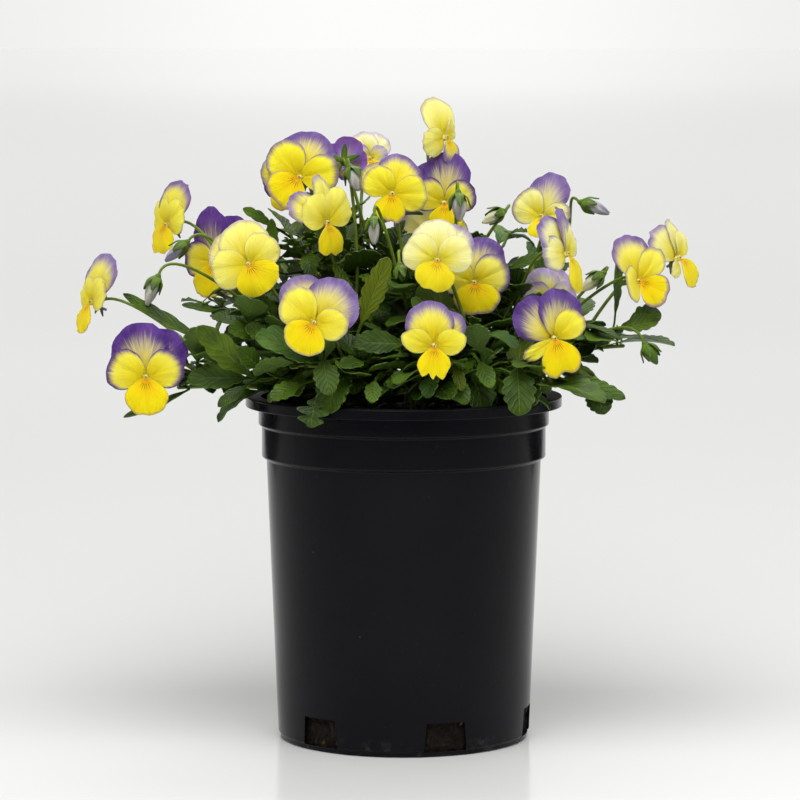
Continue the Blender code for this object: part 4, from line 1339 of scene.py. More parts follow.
def petal_points(form, width, torn, turned, draw):
    """A grid over one petal in the bloom's own frame, with its grain."""
    angle, length, spread, _, layer, lean, _ = form
    fan = np.sin(math.pi / 2 * np.linspace(-PETAL_SIDE, PETAL_SIDE, PETAL_COLUMNS))
    along = np.linspace(0.0, 1.0, PETAL_ROWS) ** 0.9
    size = length * width * draw.uniform(0.98, 1.03)
    phase = draw.uniform(0, math.tau)
    reach = petal_edge(form, size, torn, fan, phase, draw)
    u, v = np.meshgrid(fan, along)
    radius = PETAL_BASE + (reach[None, :] - PETAL_BASE) * v
    on_rib = radius * np.cos(np.radians(spread * u))
    off_rib = radius * np.sin(np.radians(spread * u))
    tilt = math.radians(lean + draw.uniform(-1.5, 1.5))
    turn = math.radians(turned)
    z = layer + on_rib * math.sin(tilt) + petal_relief(size, u, radius, off_rib, phase)
    z += off_rib * math.sin(turn)
    off_rib = off_rib * math.cos(turn)
    on_rib = on_rib * math.cos(tilt)
    way = math.radians(angle + draw.uniform(-2, 2))
    x = on_rib * math.sin(way) + off_rib * math.cos(way)
    y = on_rib * math.cos(way) - off_rib * math.sin(way)
    grain = np.stack([u, v, np.full(u.shape, draw.random())], axis=-1)
    return np.stack([x, y, z], axis=-1), grain


def petal_look(tones, petal):
    """Violet's reach and depth, and how cream the petal is, from the bloom's tones."""
    left, right, side, lower, depth, cream = tones
    reach = {"upper_left": left, "upper_right": right, "lower": lower}.get(petal, side)
    return reach, depth, cream * CREAM_SHARES.get(petal, 1.0)


def add_heart(piece, spot, turn):
    """Adds the tube behind the petals with its spur, the style and the tufts beside it."""

    def local(x, y, z):
        return spot + turn @ Vector((x, y, z))

    neck = [local(0.0, 0.0, z) for z in (0.4, -1.2, HUB_BACK)]
    add_tube(piece, neck, (1.3, 1.6, 1.2), 12, (0.0, 0.3, 0.3), 0.3)
    spur = [local(0.0, y, z) for y, z in SPUR]
    add_tube(piece, spur, (1.0, 0.95, 0.8, 0.75), 10, (0.75, 0.55, 0.3), 0.4)
    style = [local(0.0, 0.5, 0.0), local(0.0, 0.4, 0.9), local(0.0, 0.1, 1.3)]
    add_tube(piece, style, (0.3, 0.35, 0.38), 8, PLAIN, 0.5, (0.2, 0.0, STYLE_PART))
    for way in (-1, 1):
        for k in range(TUFT_HAIRS):
            root = local(way * (0.75 + 0.22 * k), 0.5 + 0.16 * k, 0.1)
            tip = local(way * (0.50 + 0.22 * k), 0.35 + 0.2 * k, 0.95)
            line = [root, root.lerp(tip, 0.5), tip]
            add_tube(piece, line, (0.13, 0.11, 0.06), 5, (0.0, 0.0, 1.0), 0.6, (0.0, 0.0, TUFT_PART))


def make_bloom(name, index, material):
    """One bloom: five petals, and the heart that they stand on."""
    place, width, azimuth, lift, roll, _ = BLOOMS[name]
    turn = facing(azimuth, lift, roll)
    draw = random.Random(BLOOM_SEED + index)
    piece = Piece()
    own_forms = OWN_PETALS.get(name, [None] * len(PETALS))
    for (petal, usual), own in zip(PETALS.items(), own_forms):
        torn = TORN_PETALS.get((name, petal), 0.0)
        turned = TURNED_PETALS.get((name, petal), 0.0)
        points, grain = petal_points(own or usual, width, torn, turned, draw)
        look = petal_look(BLOOM_TONES[name], petal)
        gold = 1.0 if petal == "lower" else 0.0
        mores = ((gold, THROAT_LINES.get(petal, 0.0), FRONT_PART), (gold, 0.0, BACK_PART))
        placed = place_points(points, place, turn)
        add_sheet(piece, placed, PETAL_THICKNESS, grain, (look, look), mores)
    add_heart(piece, Vector(place), turn)
    return piece.build(name, material)


def make_bud(name, index, material):
    """One furled bud, twisted round its axis."""
    place, length, thickness, azimuth, lift, _, violet = BUDS[name]
    along = np.linspace(0.0, 1.0, BUD_ROWS)
    around = np.arange(BUD_COLUMNS) / BUD_COLUMNS * math.tau
    s, a = np.meshgrid(along, around, indexing="ij")
    size = thickness * 0.5 * np.sin(math.pi * (0.06 + 0.90 * s**0.8)) ** 0.7
    fold = 1 + 0.10 * np.cos(3 * a - 4.2 * s + index) + 0.05 * np.cos(7 * a - 6 * s)
    r = np.maximum(size * fold, 0.12)
    bend = 0.06 * length * s**2
    points = np.stack([r * np.cos(a), r * np.sin(a) - bend, length * s], axis=-1)
    placed = place_points(points.reshape(-1, 3), place, facing(azimuth, lift, 0))
    grain = np.stack([np.cos(3 * a - 4.2 * s), s, np.full(s.shape, 0.1 * index)], axis=-1)
    piece = Piece()
    faces = tube_faces(BUD_ROWS, BUD_COLUMNS)
    piece.add(placed, faces, grain.reshape(-1, 3), (violet, 0.6, 0.8), (0.0, 0.0, BUD_PART))
    return piece.build(name, material)


def fine_half_width(leaf, share):
    """Half the width of a fine leaf: narrow at its foot and blunt at its tip."""
    if share <= 0:
        return 0.0
    full = max(0.0, math.sin(math.pi * min(share, 0.999) ** 1.05)) ** 0.5
    return 0.5 * leaf.width * full * min(1.0, 0.45 + 1.6 * share)


def add_leaf(piece, leaf, draw):
    """Adds a fine leaf: its stalk, its blade with rounded teeth or lobes, and a slight ruffle."""
    small = leaf.lobes > 0 and leaf.length < STIPULE_LENGTH
    stalk_rows, blade_rows, columns = STIPULE_GRID if small else LEAF_GRID
    usual = 4 if leaf.length < SHORT_LEAF else draw.choice((5, 6, 7))
    crests = leaf.crests or (LOBES if leaf.lobes else usual)
    depth = leaf.lobes or draw.uniform(0.15, 0.22)
    sharpness = 0.9 if leaf.lobes else 0.55
    skew = draw.uniform(-0.7, 0.7)
    phase = draw.uniform(0, math.tau)
    ruffle = draw.uniform(0.2, 0.55) * leaf.width / 18
    number = draw.random()
    drawn_tone_and_light = draw.random() * 0.9
    tone = drawn_tone_and_light if leaf.tone is None else leaf.tone
    plate = leaf.length - leaf.stalk
    rows = [(leaf.stalk * i / stalk_rows, 0.0) for i in range(stalk_rows)]
    last = blade_rows - 1
    rows += [(leaf.stalk + plate * i / last, i / last) for i in range(blade_rows)]
    points = np.zeros((len(rows), columns, 3))
    grain = np.zeros((len(rows), columns, 3))
    for i, (along, share) in enumerate(rows):
        inside = min(1.0, 6 * share) * min(1.0, 8 * (1 - share))
        plain = fine_half_width(leaf, share)
        for j in range(columns):
            t = 2 * j / (columns - 1) - 1
            turned = math.pi * crests * share**1.1 + 0.2 + (skew if t > 0 else 0.0)
            crest = abs(math.sin(turned)) ** sharpness
            wide = plain * (1 + depth * 0.35 - depth * 1.35 * (1 - crest) * inside)
            wide = max(wide, LEAF_STALK_WIDTH / 2 if share < 0.3 else 0.12)
            place, normal = leaf.spot(t * wide, along)
            wave = math.pi * crests * share * 0.8 + phase + (t > 0) * 1.7
            rise = ruffle * t * t * math.sin(wave) - 0.16 * max(0.0, 1 - abs(t) * 4) * (share > 0)
            points[i, j] = place + normal * rise * min(1.0, 4 * share)
            grain[i, j] = (t, share, number)
    looks = ((LEAF_KIND, 1.0, tone), (LEAF_KIND, 0.0, tone))
    add_sheet(piece, points, BLADE_THICKNESS, grain, looks)


def add_sepal(piece, centre, turn, turned, cupped, thickness, draw):
    """Adds one pointed sepal, flat behind an open bloom or cupped round a bud."""
    out = np.array([math.cos(turned), math.sin(turned), 0.0])
    side = np.array([-math.sin(turned), math.cos(turned), 0.0])
    spread = draw.uniform(0.5, 1.6) if cupped else draw.uniform(-1.2, 0.2)
    number = draw.random()
    points = np.zeros((SEPAL_ROWS, SEPAL_COLUMNS, 3))
    grain = np.zeros((SEPAL_ROWS, SEPAL_COLUMNS, 3))
    for i in range(SEPAL_ROWS):
        s = i / (SEPAL_ROWS - 1)
        if cupped:
            ring = 0.8 + (thickness * 0.5 + 0.35) * math.sin(min(1.0, 1.8 * s) * math.pi / 2)
            ring += spread * s**2
            height = -1.2 + 8.4 * s**1.15
        else:
            ring = 0.8 + 8.2 * s
            height = -0.9 - 0.3 * math.sin(math.pi * s) + spread * s**2
        wide = (2.1 if cupped else 1.5) * math.sin(math.pi * (0.22 + 0.74 * s)) ** 0.9 + 0.05
        for j in range(SEPAL_COLUMNS):
            t = 2 * j / (SEPAL_COLUMNS - 1) - 1
            inward = 0.4 * t * t if cupped else 0.0
            points[i, j] = out * (ring - inward) + side * t * wide
            points[i, j, 2] = height + (0.0 if cupped else 0.35 * t * t)
            grain[i, j] = (t, s, number)
    # Reversed columns turn the sheet's front to the bloom
    placed = place_points(points[:, ::-1], centre, turn)
    looks = ((SEPAL_KIND, 1.0, 0.5), (SEPAL_KIND, 0.0, 0.5))
    add_sheet(piece, placed, SEPAL_THICKNESS, grain, looks)


def add_calyx(piece, centre, turn, forward, thickness, draw):
    """Adds the calyx: five sepals, and the cup that they grow from."""
    for k in range(SEPALS):
        turned = math.radians(90 + 360 / SEPALS * k + draw.uniform(-8, 8))
        add_sepal(piece, centre, turn, turned, forward > 0, thickness, draw)
    axis = turn @ UP
    cup = [centre - axis * 3.0, centre - axis * 1.6, centre - axis * 0.5]
    add_tube(piece, cup, (0.9, 1.7, 2.0), 12, (SEPAL_KIND, 0.5, 0.5), 0.2)


def add_pod(piece, place, turn, length, thickness):
    """Adds a green closed bud or seed pod."""
    axis = turn @ UP
    shares = [i / POD_STEPS for i in range(POD_STEPS + 1)]
    points = [Vector(place) + axis * length * s for s in shares]
    radii = [thickness * 0.5 * math.sin(math.pi * (0.08 + 0.88 * s**0.8)) ** 0.7 for s in shares]
    add_tube(piece, points, radii, 14, (SEPAL_KIND, 1.0, 0.9), 0.7)


def make_stem(stem, growth, material):
    """One leafy stem with its leaves, stipules, flower stalks, calyxes and pods."""
    draw = random.Random(STEM_SEED + stem)
    piece = Piece()
    points = stem_points(*STEMS[stem], FINE_STEM_STEPS)
    radii = tapered(STEM_RADIUS, 1, STEM_TAPER, len(points))
    add_tube(piece, points, radii, 10, (STALK_KIND, 1.0, 0.4), 0.1)
    for route, centre, turn, forward, thickness in growth.stalks[stem]:
        line = stalk_points(*route, FINE_STALK_STEPS)
        radii = tapered(STALK_RADIUS, 1.12, 0.28, len(line))
        add_tube(piece, line, radii, 8, (STALK_KIND, 1.0, 0.7), draw.random())
        add_calyx(piece, centre, turn, forward, thickness, draw)
    for place, length, thickness, azimuth, lift, owner in PODS:
        if owner == stem:
            add_pod(piece, place, facing(azimuth, lift, 0), length, thickness)
    for points in growth.branches[stem]:
        radii = tapered(BRANCH_RADIUS, 1.15, 0.35, len(points))
        add_tube(piece, points, radii, 8, (STALK_KIND, 1.0, 0.45), draw.random())
    for leaf in growth.leaves[stem] + growth.stipules[stem]:
        add_leaf(piece, leaf, draw)
    return piece.build(stem_name(stem), material)


def fillet(profile, radius):
    """The profile with each inner corner rounded by a short curve between two flat collars."""
    made = [profile[0]]
    for before, corner, after in zip(profile, profile[1:], profile[2:]):
        b = Vector(corner)
        back = Vector(before) - b
        ahead = Vector(after) - b
        size = min(radius, back.length * 0.3, ahead.length * 0.3)
        collar = min(0.3, size * 0.5)
        start = b + back.normalized() * size
        end = b + ahead.normalized() * size
        made.append(tuple(start + back.normalized() * collar))
        for t in (0.0, 0.33, 0.67, 1.0):
            made.append(tuple(curve(start, b, end, t)))
        made.append(tuple(end + ahead.normalized() * collar))
    made.append(profile[-1])
    return made


def turned_piece(profile, sides, wobble=None):
    """A closed solid turned about Z; wobble moves each point, given its radius, height and angle."""
    points = [(0.0, 0.0, profile[0][1])]
    for radius, height in profile[1:-1]:
        for k in range(sides):
            turn = math.tau * k / sides
            r, z = (radius, height) if wobble is None else wobble(radius, height, turn)
            points.append((r * math.cos(turn), r * math.sin(turn), z))
    points.append((0.0, 0.0, profile[-1][1]))
    rings = len(profile) - 2
    last = len(points) - 1
    top = 1 + (rings - 1) * sides
    faces = [(0, 1 + (k + 1) % sides, 1 + k) for k in range(sides)]
    faces += ring_faces(rings, sides, 1)
    faces += [(top + k, top + (k + 1) % sides, last) for k in range(sides)]
    grain = [(math.atan2(y, x) / math.tau, z / POT_HEIGHT, 0.0) for x, y, z in points]
    piece = Piece()
    piece.add(points, faces, grain, PLAIN)
    return piece


def pot_profile():
    """Corners of the pot's wall in radius and height: up the outside, over the lip, down the inside."""
    foot = BASE_RADIUS - FOOT_INSET
    lip = LIP_RADIUS - WALL
    under = POT_HEIGHT - 1.7
    return [
        (0.0, 0.0),
        (foot - 1.5, 0.0),
        (foot, 0.6),
        (foot, FOOT_HEIGHT),
        (BASE_RADIUS, FOOT_HEIGHT + 0.8),
        (BODY_TOP_RADIUS, BAND_FOOT - 0.8),
        (BAND_RADIUS, BAND_FOOT),
        (BAND_RADIUS, COLLAR_FOOT - 0.6),
        (COLLAR_RADIUS, COLLAR_FOOT),
        (COLLAR_RADIUS, under),
        (lip, under),
        (lip, POT_HEIGHT - LIP_DROP),
        (LIP_RADIUS, POT_HEIGHT - LIP_DROP),
        (LIP_RADIUS, POT_HEIGHT),
        (COLLAR_RADIUS - WALL, POT_HEIGHT),
        (COLLAR_RADIUS - WALL, COLLAR_FOOT + 1.2),
        (BAND_RADIUS - WALL, COLLAR_FOOT + 0.5),
        (BAND_RADIUS - WALL, BAND_FOOT + 1.4),
        (BODY_TOP_RADIUS - WALL, BAND_FOOT + 0.6),
        (BASE_RADIUS - WALL, FLOOR),
        (0.0, FLOOR),
    ]


def slot_cutter(index):
    """The block that cuts one foot slot, narrower at its top."""
    turned = math.radians(SLOT_FIRST + 360 / SLOT_COUNT * index)
    out = Vector((math.sin(turned), -math.cos(turned), 0.0))
    side = Vector((math.cos(turned), math.sin(turned), 0.0))
    verts = []
    for height, width in ((SLOT_FOOT, SLOT_WIDTH_FOOT), (SLOT_TOP, SLOT_WIDTH_TOP)):
        for reach, way in ((SLOT_INSIDE, -1), (SLOT_OUTSIDE, -1), (SLOT_OUTSIDE, 1), (SLOT_INSIDE, 1)):
            verts.append(out * reach + side * way * width / 2 + UP * height)
    faces = [(3, 2, 1, 0), (4, 5, 6, 7)]
    faces += [(k, (k + 1) % 4, (k + 1) % 4 + 4, k + 4) for k in range(4)]
    mesh = bpy.data.meshes.new(f"slot_{index}")
    mesh.from_pydata([tuple(v * MM) for v in verts], [], faces)
    return bpy.data.objects.new(f"slot_{index}", mesh)


def make_pot(material):
    """The moulded pot with rounded edges, its rolled lip and its foot slots."""
    profile = fillet(pot_profile(), EDGE_RADIUS)
    made = turned_piece(profile, POT_SIDES).build("pot", material, POT_SHARP)
    cutters = bpy.data.collections.new("slots")
    bpy.context.scene.collection.children.link(cutters)
    for i in range(SLOT_COUNT):
        cutters.objects.link(slot_cutter(i))
    modifier = made.modifiers.new("slots", "BOOLEAN")
    modifier.operand_type = "COLLECTION"
    modifier.collection = cutters
    modifier.operation = "DIFFERENCE"
    modifier.solver = "EXACT"
    bpy.context.view_layer.update()
    cut = bpy.data.meshes.new_from_object(made.evaluated_get(bpy.context.evaluated_depsgraph_get()))
    made.modifiers.clear()
    made.data = cut
    cut.set_sharp_from_angle(angle=math.radians(POT_SHARP))
    for cutter in list(cutters.objects):
        bpy.data.objects.remove(cutter, do_unlink=True)
    bpy.data.collections.remove(cutters)
    return made


def mix_wobble(radius, height, turn):
    """Makes the potting mix crumbly: its side only shrinks, and its top rises and falls."""
    spot = Vector((radius * math.cos(turn), radius * math.sin(turn), height))
    coarse = noise.noise(spot * 0.22)
    fine = noise.noise(spot * 0.7) + 0.5 * noise.noise(spot * 1.7)
    if height > MIX_EDGE - 6 and radius < BAND_RADIUS - WALL - 2:
        return radius, height + 1.2 * coarse + 0.9 * fine
    return radius - 0.5 - 0.9 * abs(coarse) - 0.6 * abs(fine), height


def make_mix(material):
    """The potting mix with a crumbly top, and a crumbly side that shows in the slots."""
    rim = BAND_RADIUS - WALL - GAP
    low = (BASE_RADIUS - WALL - 2 * GAP, FLOOR + GAP)
    high = (BODY_TOP_RADIUS - WALL - GAP, BAND_FOOT + 1.2)
    profile = [(0.0, low[1]), low]
    for i in range(1, MIX_SIDE_ROWS + 1):
        height = low[1] + (SLOT_TOP + 4 - low[1]) * i / MIX_SIDE_ROWS
        share = (height - low[1]) / (high[1] - low[1])
        profile.append((low[0] + (high[0] - low[0]) * share, height))
    profile += [high, (rim, BAND_FOOT + 2.1), (rim, mix_height(rim))]
    for i in range(1, MIX_TOP_ROWS):
        radius = rim * (1 - i / MIX_TOP_ROWS)
        profile.append((radius, mix_height(radius)))
    profile.append((0.0, MIX_CROWN))
    return turned_piece(profile, MIX_SIDES, mix_wobble).build("potting_mix", material, 70.0)


# Materials


class Value:
    """A value in a tree of nodes, which sums and products are built from."""

    def __init__(self, nodes, socket):
        self.nodes = nodes
        self.socket = socket

    def __add__(self, other):
        return self.nodes.math("ADD", self, other)

    def __sub__(self, other):
        return self.nodes.math("SUBTRACT", self, other)

    def __rsub__(self, other):
        return self.nodes.math("SUBTRACT", other, self)

    def __mul__(self, other):
        return self.nodes.math("MULTIPLY", self, other)

    def __truediv__(self, other):
        return self.nodes.math("DIVIDE", self, other)

    def __abs__(self):
        return self.nodes.math("ABSOLUTE", self)


class Nodes:
    """Builds a tree of nodes from sums, blends and patterns."""

    def __init__(self, tree):
        self.tree = tree

    def node(self, kind, inputs=(), **settings):
        """Adds a node, with its settings, and links or sets its inputs by name or number."""
        made = self.tree.nodes.new(kind)
        for key, value in settings.items():
            setattr(made, key, value)
        for key, value in dict(inputs).items():
            self.join(value, made.inputs[key])
        return made

    def out(self, kind, inputs=(), output=0, **settings):
        """Adds a node, and gives one of its outputs."""
        return Value(self, self.node(kind, inputs, **settings).outputs[output])

    def join(self, value, socket):
        """Links a socket to a value, or sets it."""
        if isinstance(value, Value):
            self.tree.links.new(value.socket, socket)
        else:
            socket.default_value = value

    def math(self, operation, a, b=0.0):
        """A sum, product or other operation on numbers."""
        return self.out("ShaderNodeMath", {0: a, 1: b}, operation=operation)

    def smooth(self, value, low, high, start=0.0, end=1.0):
        """Goes smoothly from start to end as the value goes from low to high."""
        span = {"Value": value, "From Min": low, "From Max": high, "To Min": start, "To Max": end}
        return self.out("ShaderNodeMapRange", span, interpolation_type="SMOOTHSTEP")

    def mix(self, factor, a, b, blend="MIX"):
        """Blends two colours."""
        settings = {"data_type": "RGBA", "blend_type": blend, "clamp_factor": True}
        return self.out("ShaderNodeMix", {0: factor, 6: a, 7: b}, 2, **settings)

    def noise(self, vector, scale, detail=2.0, roughness=0.5):
        """Cloudy values of 0 to 1."""
        inputs = {"Vector": vector, "Scale": scale, "Detail": detail, "Roughness": roughness}
        return self.out("ShaderNodeTexNoise", inputs)

    def parts(self, vector):
        """The three numbers of a vector."""
        made = self.node("ShaderNodeSeparateXYZ", {0: vector})
        return [Value(self, socket) for socket in made.outputs]

    def attribute(self, name):
        """The three numbers of an attribute."""
        return self.parts(self.out("ShaderNodeAttribute", (), "Vector", attribute_name=name))

    def vector(self, x, y, z):
        """Three numbers as a vector."""
        return self.out("ShaderNodeCombineXYZ", {0: x, 1: y, 2: z})

    def place(self):
        """The point's place in the object, in metres."""
        return self.out("ShaderNodeTexCoord", (), "Object")

    def stretched(self, scale):
        """The point's place, scaled on each axis."""
        return self.out("ShaderNodeMapping", {"Vector": self.place(), "Scale": scale})


class Shader(Nodes):
    """Builds a node material round one Principled surface."""

    def __init__(self, name):
        self.material = bpy.data.materials.new(name)
        self.material.use_nodes = True
        super().__init__(self.material.node_tree)
        self.surface = self.tree.nodes["Principled BSDF"]

    def bump(self, height, distance):
        """Raises the surface by the height times the distance, in metres."""
        self.set(Normal=self.out("ShaderNodeBump", {"Height": height, "Distance": distance}))

    def set(self, **values):
        """Sets or links the surface's own sockets."""
        for key, value in values.items():
            self.join(value, self.surface.inputs[key.replace("_", " ")])


def petal_yellow(s, along, cream, gold):
    """A petal's ground: lemon or cream, and gold on the lower petal, deepest at its throat."""
    outer = s.mix(s.smooth(along, 0.15, 0.95), srgb(251, 222, 14), srgb(253, 240, 48))
    pale = s.mix(s.smooth(along, 0.15, 0.9), srgb(252, 238, 64), srgb(251, 249, 186))
    golden = s.mix(s.smooth(along, 0.12, 0.75), srgb(253, 204, 2), srgb(254, 228, 8))
    golden = s.mix(s.smooth(cream, 0.0, 0.3, 0.0, 0.6), golden, srgb(252, 232, 40))
    return s.mix(gold, s.mix(cream, outer, pale), golden)


def petal_violet(s, violet, reach, depth, fine):
    """A petal's violet, pale or deep, streaked, and softer where it begins."""
    streaks = fine * 0.45 + s.noise(s.place(), 120.0) * 0.55
    share = s.smooth(streaks, 0.32, 0.68)
    deep = s.mix(share, srgb(60, 30, 112), srgb(96, 60, 146))
    light = s.mix(share, srgb(156, 132, 196), srgb(206, 192, 226))
    soft = s.smooth(violet, 1.0, 0.20) * s.smooth(reach, 0.05, 0.3)
    return s.mix(soft * 0.55, s.mix(depth, light, deep), srgb(168, 148, 200))


def throat_lines(s, across, along):
    """The thin dark lines that run out from the throat."""
    stripe = s.math("PINGPONG", across * 5.0 + 0.5, 0.5)
    thin = s.smooth(along, 0.10, 0.34, 0.15, 0.0)
    band = s.smooth(along, 0.09, 0.15) * s.smooth(along, 0.36, 0.24)
    return s.smooth(stripe, thin + 0.05, thin) * (band * s.smooth(abs(across), 0.62, 0.45))


def other_parts(s, part, across, along, violet, colour):
    """The colour, or that of the style, the tufts or a furled bud where the part is one of those."""
    colour = s.mix(s.smooth(part, -0.6, -0.8), colour, srgb(116, 132, 34))
    colour = s.mix(s.smooth(part, -1.4, -1.6), colour, srgb(246, 240, 196))
    tip = s.mix(s.smooth(along, 0.25, 0.8), srgb(196, 190, 216), srgb(110, 98, 156))
    bud = s.mix(violet, s.mix(along, srgb(204, 212, 150), srgb(238, 236, 186)), tip)
    bud = s.mix(s.smooth(across, 0.3, 0.95, 0.0, 0.35), bud, srgb(222, 222, 216))
    return s.mix(s.smooth(part, -2.4, -2.6), colour, bud)


def petal_material():
    """Petals: yellow that runs in fine rays into a violet edge, gold with dark lines at the throat."""
    s = Shader("petal")
    across, along, number = s.attribute("grain")
    reach, depth, cream = s.attribute("look")
    gold, lines, part = s.attribute("more")
    shift = number * 37.0
    rays = s.noise(s.vector(across * 9.0, along * 1.1, shift), 1.0)
    fine = s.noise(s.vector(across * 38.0, along * 2.4, shift), 1.0, 3.0)
    veins = s.noise(s.vector(across * 64.0, along * 1.5, shift), 1.0)
    cloud = s.noise(s.place(), 160.0, 3.0)
    edge = along + (rays * 0.5 + fine * 1.2 - 0.85) * (reach * 0.75)
    start = 0.965 - reach * 1.30
    end = 1.03 - reach * 0.30
    violet = s.smooth(edge, start, end) * s.smooth(reach, 0.0, 0.03)
    yellow = petal_yellow(s, along, cream, gold)
    fade = s.smooth(edge, start - 0.30, start + 0.10) * s.smooth(reach, 0.08, 0.5, 0.0, 0.50)
    yellow = s.mix(fade, yellow, srgb(228, 220, 150))
    throat = s.smooth(along, 0.22, 0.02) * gold
    yellow = s.mix(throat * 0.6, yellow, srgb(240, 150, 2))
    amount = violet * s.smooth(reach, 0.0, 0.2, 0.50, 1.0)
    colour = s.mix(amount, yellow, petal_violet(s, violet, reach, depth, fine))
    colour = s.mix(throat_lines(s, across, along) * lines * 0.85, colour, srgb(84, 34, 20))
    colour = s.mix(s.smooth(veins, 0.50, 0.75, 0.0, 0.30), colour, srgb(230, 190, 96), "MULTIPLY")
    colour = s.mix(s.smooth(cloud, 0.35, 0.75, 0.0, 0.14), colour, srgb(226, 204, 130), "MULTIPLY")
    # Backs are paler: partly the petals' own paler backs, partly painted light that lifts the backs out of
    # the shade they lie in
    rear_with_painted_light = s.mix(amount, srgb(240, 236, 226), srgb(170, 112, 240))
    colour = s.mix(s.smooth(part, 0.5, 0.0) * (amount * 0.33 + 0.22), colour, rear_with_painted_light)
    colour = other_parts(s, part, across, along, reach, colour)
    s.set(Base_Color=colour, Roughness=0.6, Specular_IOR_Level=0.12)
    s.set(Sheen_Weight=0.04, Sheen_Roughness=0.5)
    s.set(Subsurface_Weight=0.18, Subsurface_Scale=0.0020, Subsurface_Radius=(1.0, 0.75, 0.25))
    s.bump(veins + fine * 0.6, 0.00032)
    return s.material


def leaf_green(s, number, tone, cloud):
    """A leaf's green: cloudy, olive yellow where its tone is high, a painted bluish sheen where it is
    lowest, and painted shade, very dark, just above that.
    """
    dark = s.mix(s.smooth(number, 0.0, 1.0), srgb(40, 62, 8), srgb(60, 88, 14))
    bright = s.mix(number, srgb(70, 100, 16), srgb(100, 130, 24))
    green = s.mix(s.smooth(cloud, 0.35, 0.7), dark, bright)
    green = s.mix(s.smooth(tone, 0.80, 0.95), green, srgb(102, 116, 18))
    # Painted sheen: the lowest tones lighten the green towards a bluish green that stands for a waxy gloss
    green = s.mix(s.smooth(tone, 0.16, 0.04, 0.0, 0.55), green, srgb(62, 98, 44))
    # Painted shade: tones a little higher darken the leaf almost to black; the low front leaves near the lip
    # are set so, and grown leaves get it at random
    painted_shade = s.smooth(tone, 0.17, 0.20) * s.smooth(tone, 0.34, 0.28)
    return s.mix(painted_shade * 0.55, green, srgb(26, 44, 8))


def foliage_material():
    """Leaves, stems and sepals: waxy greens with pale veins, lighter and duller below."""
    s = Shader("foliage")
    across, along, number = s.attribute("grain")
    kind, top, tone = s.attribute("look")
    cloud = s.noise(s.place(), 70.0, 3.0)
    grit = s.noise(s.place(), 900.0)
    leafy = s.smooth(kind, 0.7, 0.9)
    off = abs(across)
    rib = s.smooth(off, 0.085, 0.02)
    wave = s.math("PINGPONG", along * 7.0 - off * 2.1, 0.5)
    vein = s.smooth(wave, 0.07, 0.0) * s.smooth(off, 1.0, 0.5)
    net = s.math("MAXIMUM", rib, vein * 0.55) * leafy
    between = s.smooth(wave, 0.28, 0.5) * leafy
    green = leaf_green(s, number, tone, cloud)
    green = s.mix(between * 0.20, green, srgb(34, 54, 8))
    green = s.mix(net * 0.36, green, srgb(124, 150, 62))
    green = s.mix(s.smooth(off, 0.9, 1.0) * 0.25, green, srgb(100, 126, 44))
    green = s.mix(s.smooth(top, 0.6, 0.4) * leafy * 0.50, green, srgb(96, 122, 50))
    stalk = s.mix(s.smooth(cloud, 0.3, 0.7), srgb(92, 116, 24), srgb(122, 142, 44))
    stalk = s.mix(s.smooth(tone, 0.5, 0.3), stalk, srgb(88, 112, 40))
    stalk = s.mix(s.smooth(along, 0.86, 1.0, 0.0, 0.35), stalk, srgb(92, 84, 60))
    sepal = s.mix(s.smooth(along, 0.0, 1.0), srgb(96, 124, 34), srgb(60, 88, 20))
    sepal = s.mix(rib * 0.4, sepal, srgb(150, 176, 100))
    colour = s.mix(leafy, s.mix(s.smooth(kind, 0.2, 0.4), stalk, sepal), green)
    colour = s.mix(s.smooth(grit, 0.35, 0.75, 0.0, 0.18), colour, srgb(190, 205, 150), "MULTIPLY")
    s.set(Base_Color=colour, Roughness=s.smooth(cloud, 0.3, 0.7, 0.36, 0.50), Specular_IOR_Level=0.24)
    s.set(Subsurface_Weight=0.08, Subsurface_Scale=0.0015, Subsurface_Radius=(0.5, 1.0, 0.2))
    s.bump(cloud * 0.5 - net * 0.8 + between * 0.5 + grit * 0.15, 0.0006)
    return s.material


def pot_material():
    """Near-black moulded plastic with a soft gloss, faint flow marks, specks of dust and scuffs."""
    s = Shader("pot_plastic")
    place = s.place()
    height = s.parts(place)[2]
    streak = s.noise(s.stretched((60.0, 60.0, 5.0)), 1.0)
    cloud = s.noise(place, 26.0, 4.0)
    dust = s.noise(place, 420.0, 1.0)
    dots = s.out("ShaderNodeTexVoronoi", {"Vector": place, "Scale": 90.0}, "Distance")
    speck = s.smooth(dots, 0.05, 0.03) * s.smooth(s.noise(place, 55.0, 1.0), 0.60, 0.66)
    scuffed = s.smooth(s.noise(place, 190.0, 4.0), 0.50, 0.68)
    worn = s.smooth(height, 0.011, 0.0015) * scuffed
    base = s.mix(s.smooth(cloud, 0.3, 0.7), srgb(13, 13, 17), srgb(16, 16, 21))
    base = s.mix(speck * 0.20, base, srgb(120, 120, 120))
    base = s.mix(worn * 0.16, base, srgb(110, 108, 104))
    base = s.mix(s.smooth(dust, 0.66, 0.86, 0.0, 0.05), base, srgb(90, 90, 92))
    rough = s.smooth(cloud, 0.3, 0.7, 0.09, 0.14) + streak * 0.04 + worn * 0.3
    top = s.smooth(height, (POT_HEIGHT - 0.7) * MM, (POT_HEIGHT - 0.1) * MM, 0.0, 0.45)
    s.set(Base_Color=base, Roughness=rough + top, Specular_IOR_Level=0.10)
    s.bump(streak * 0.5 + dust * 0.12, 0.00012)
    return s.material


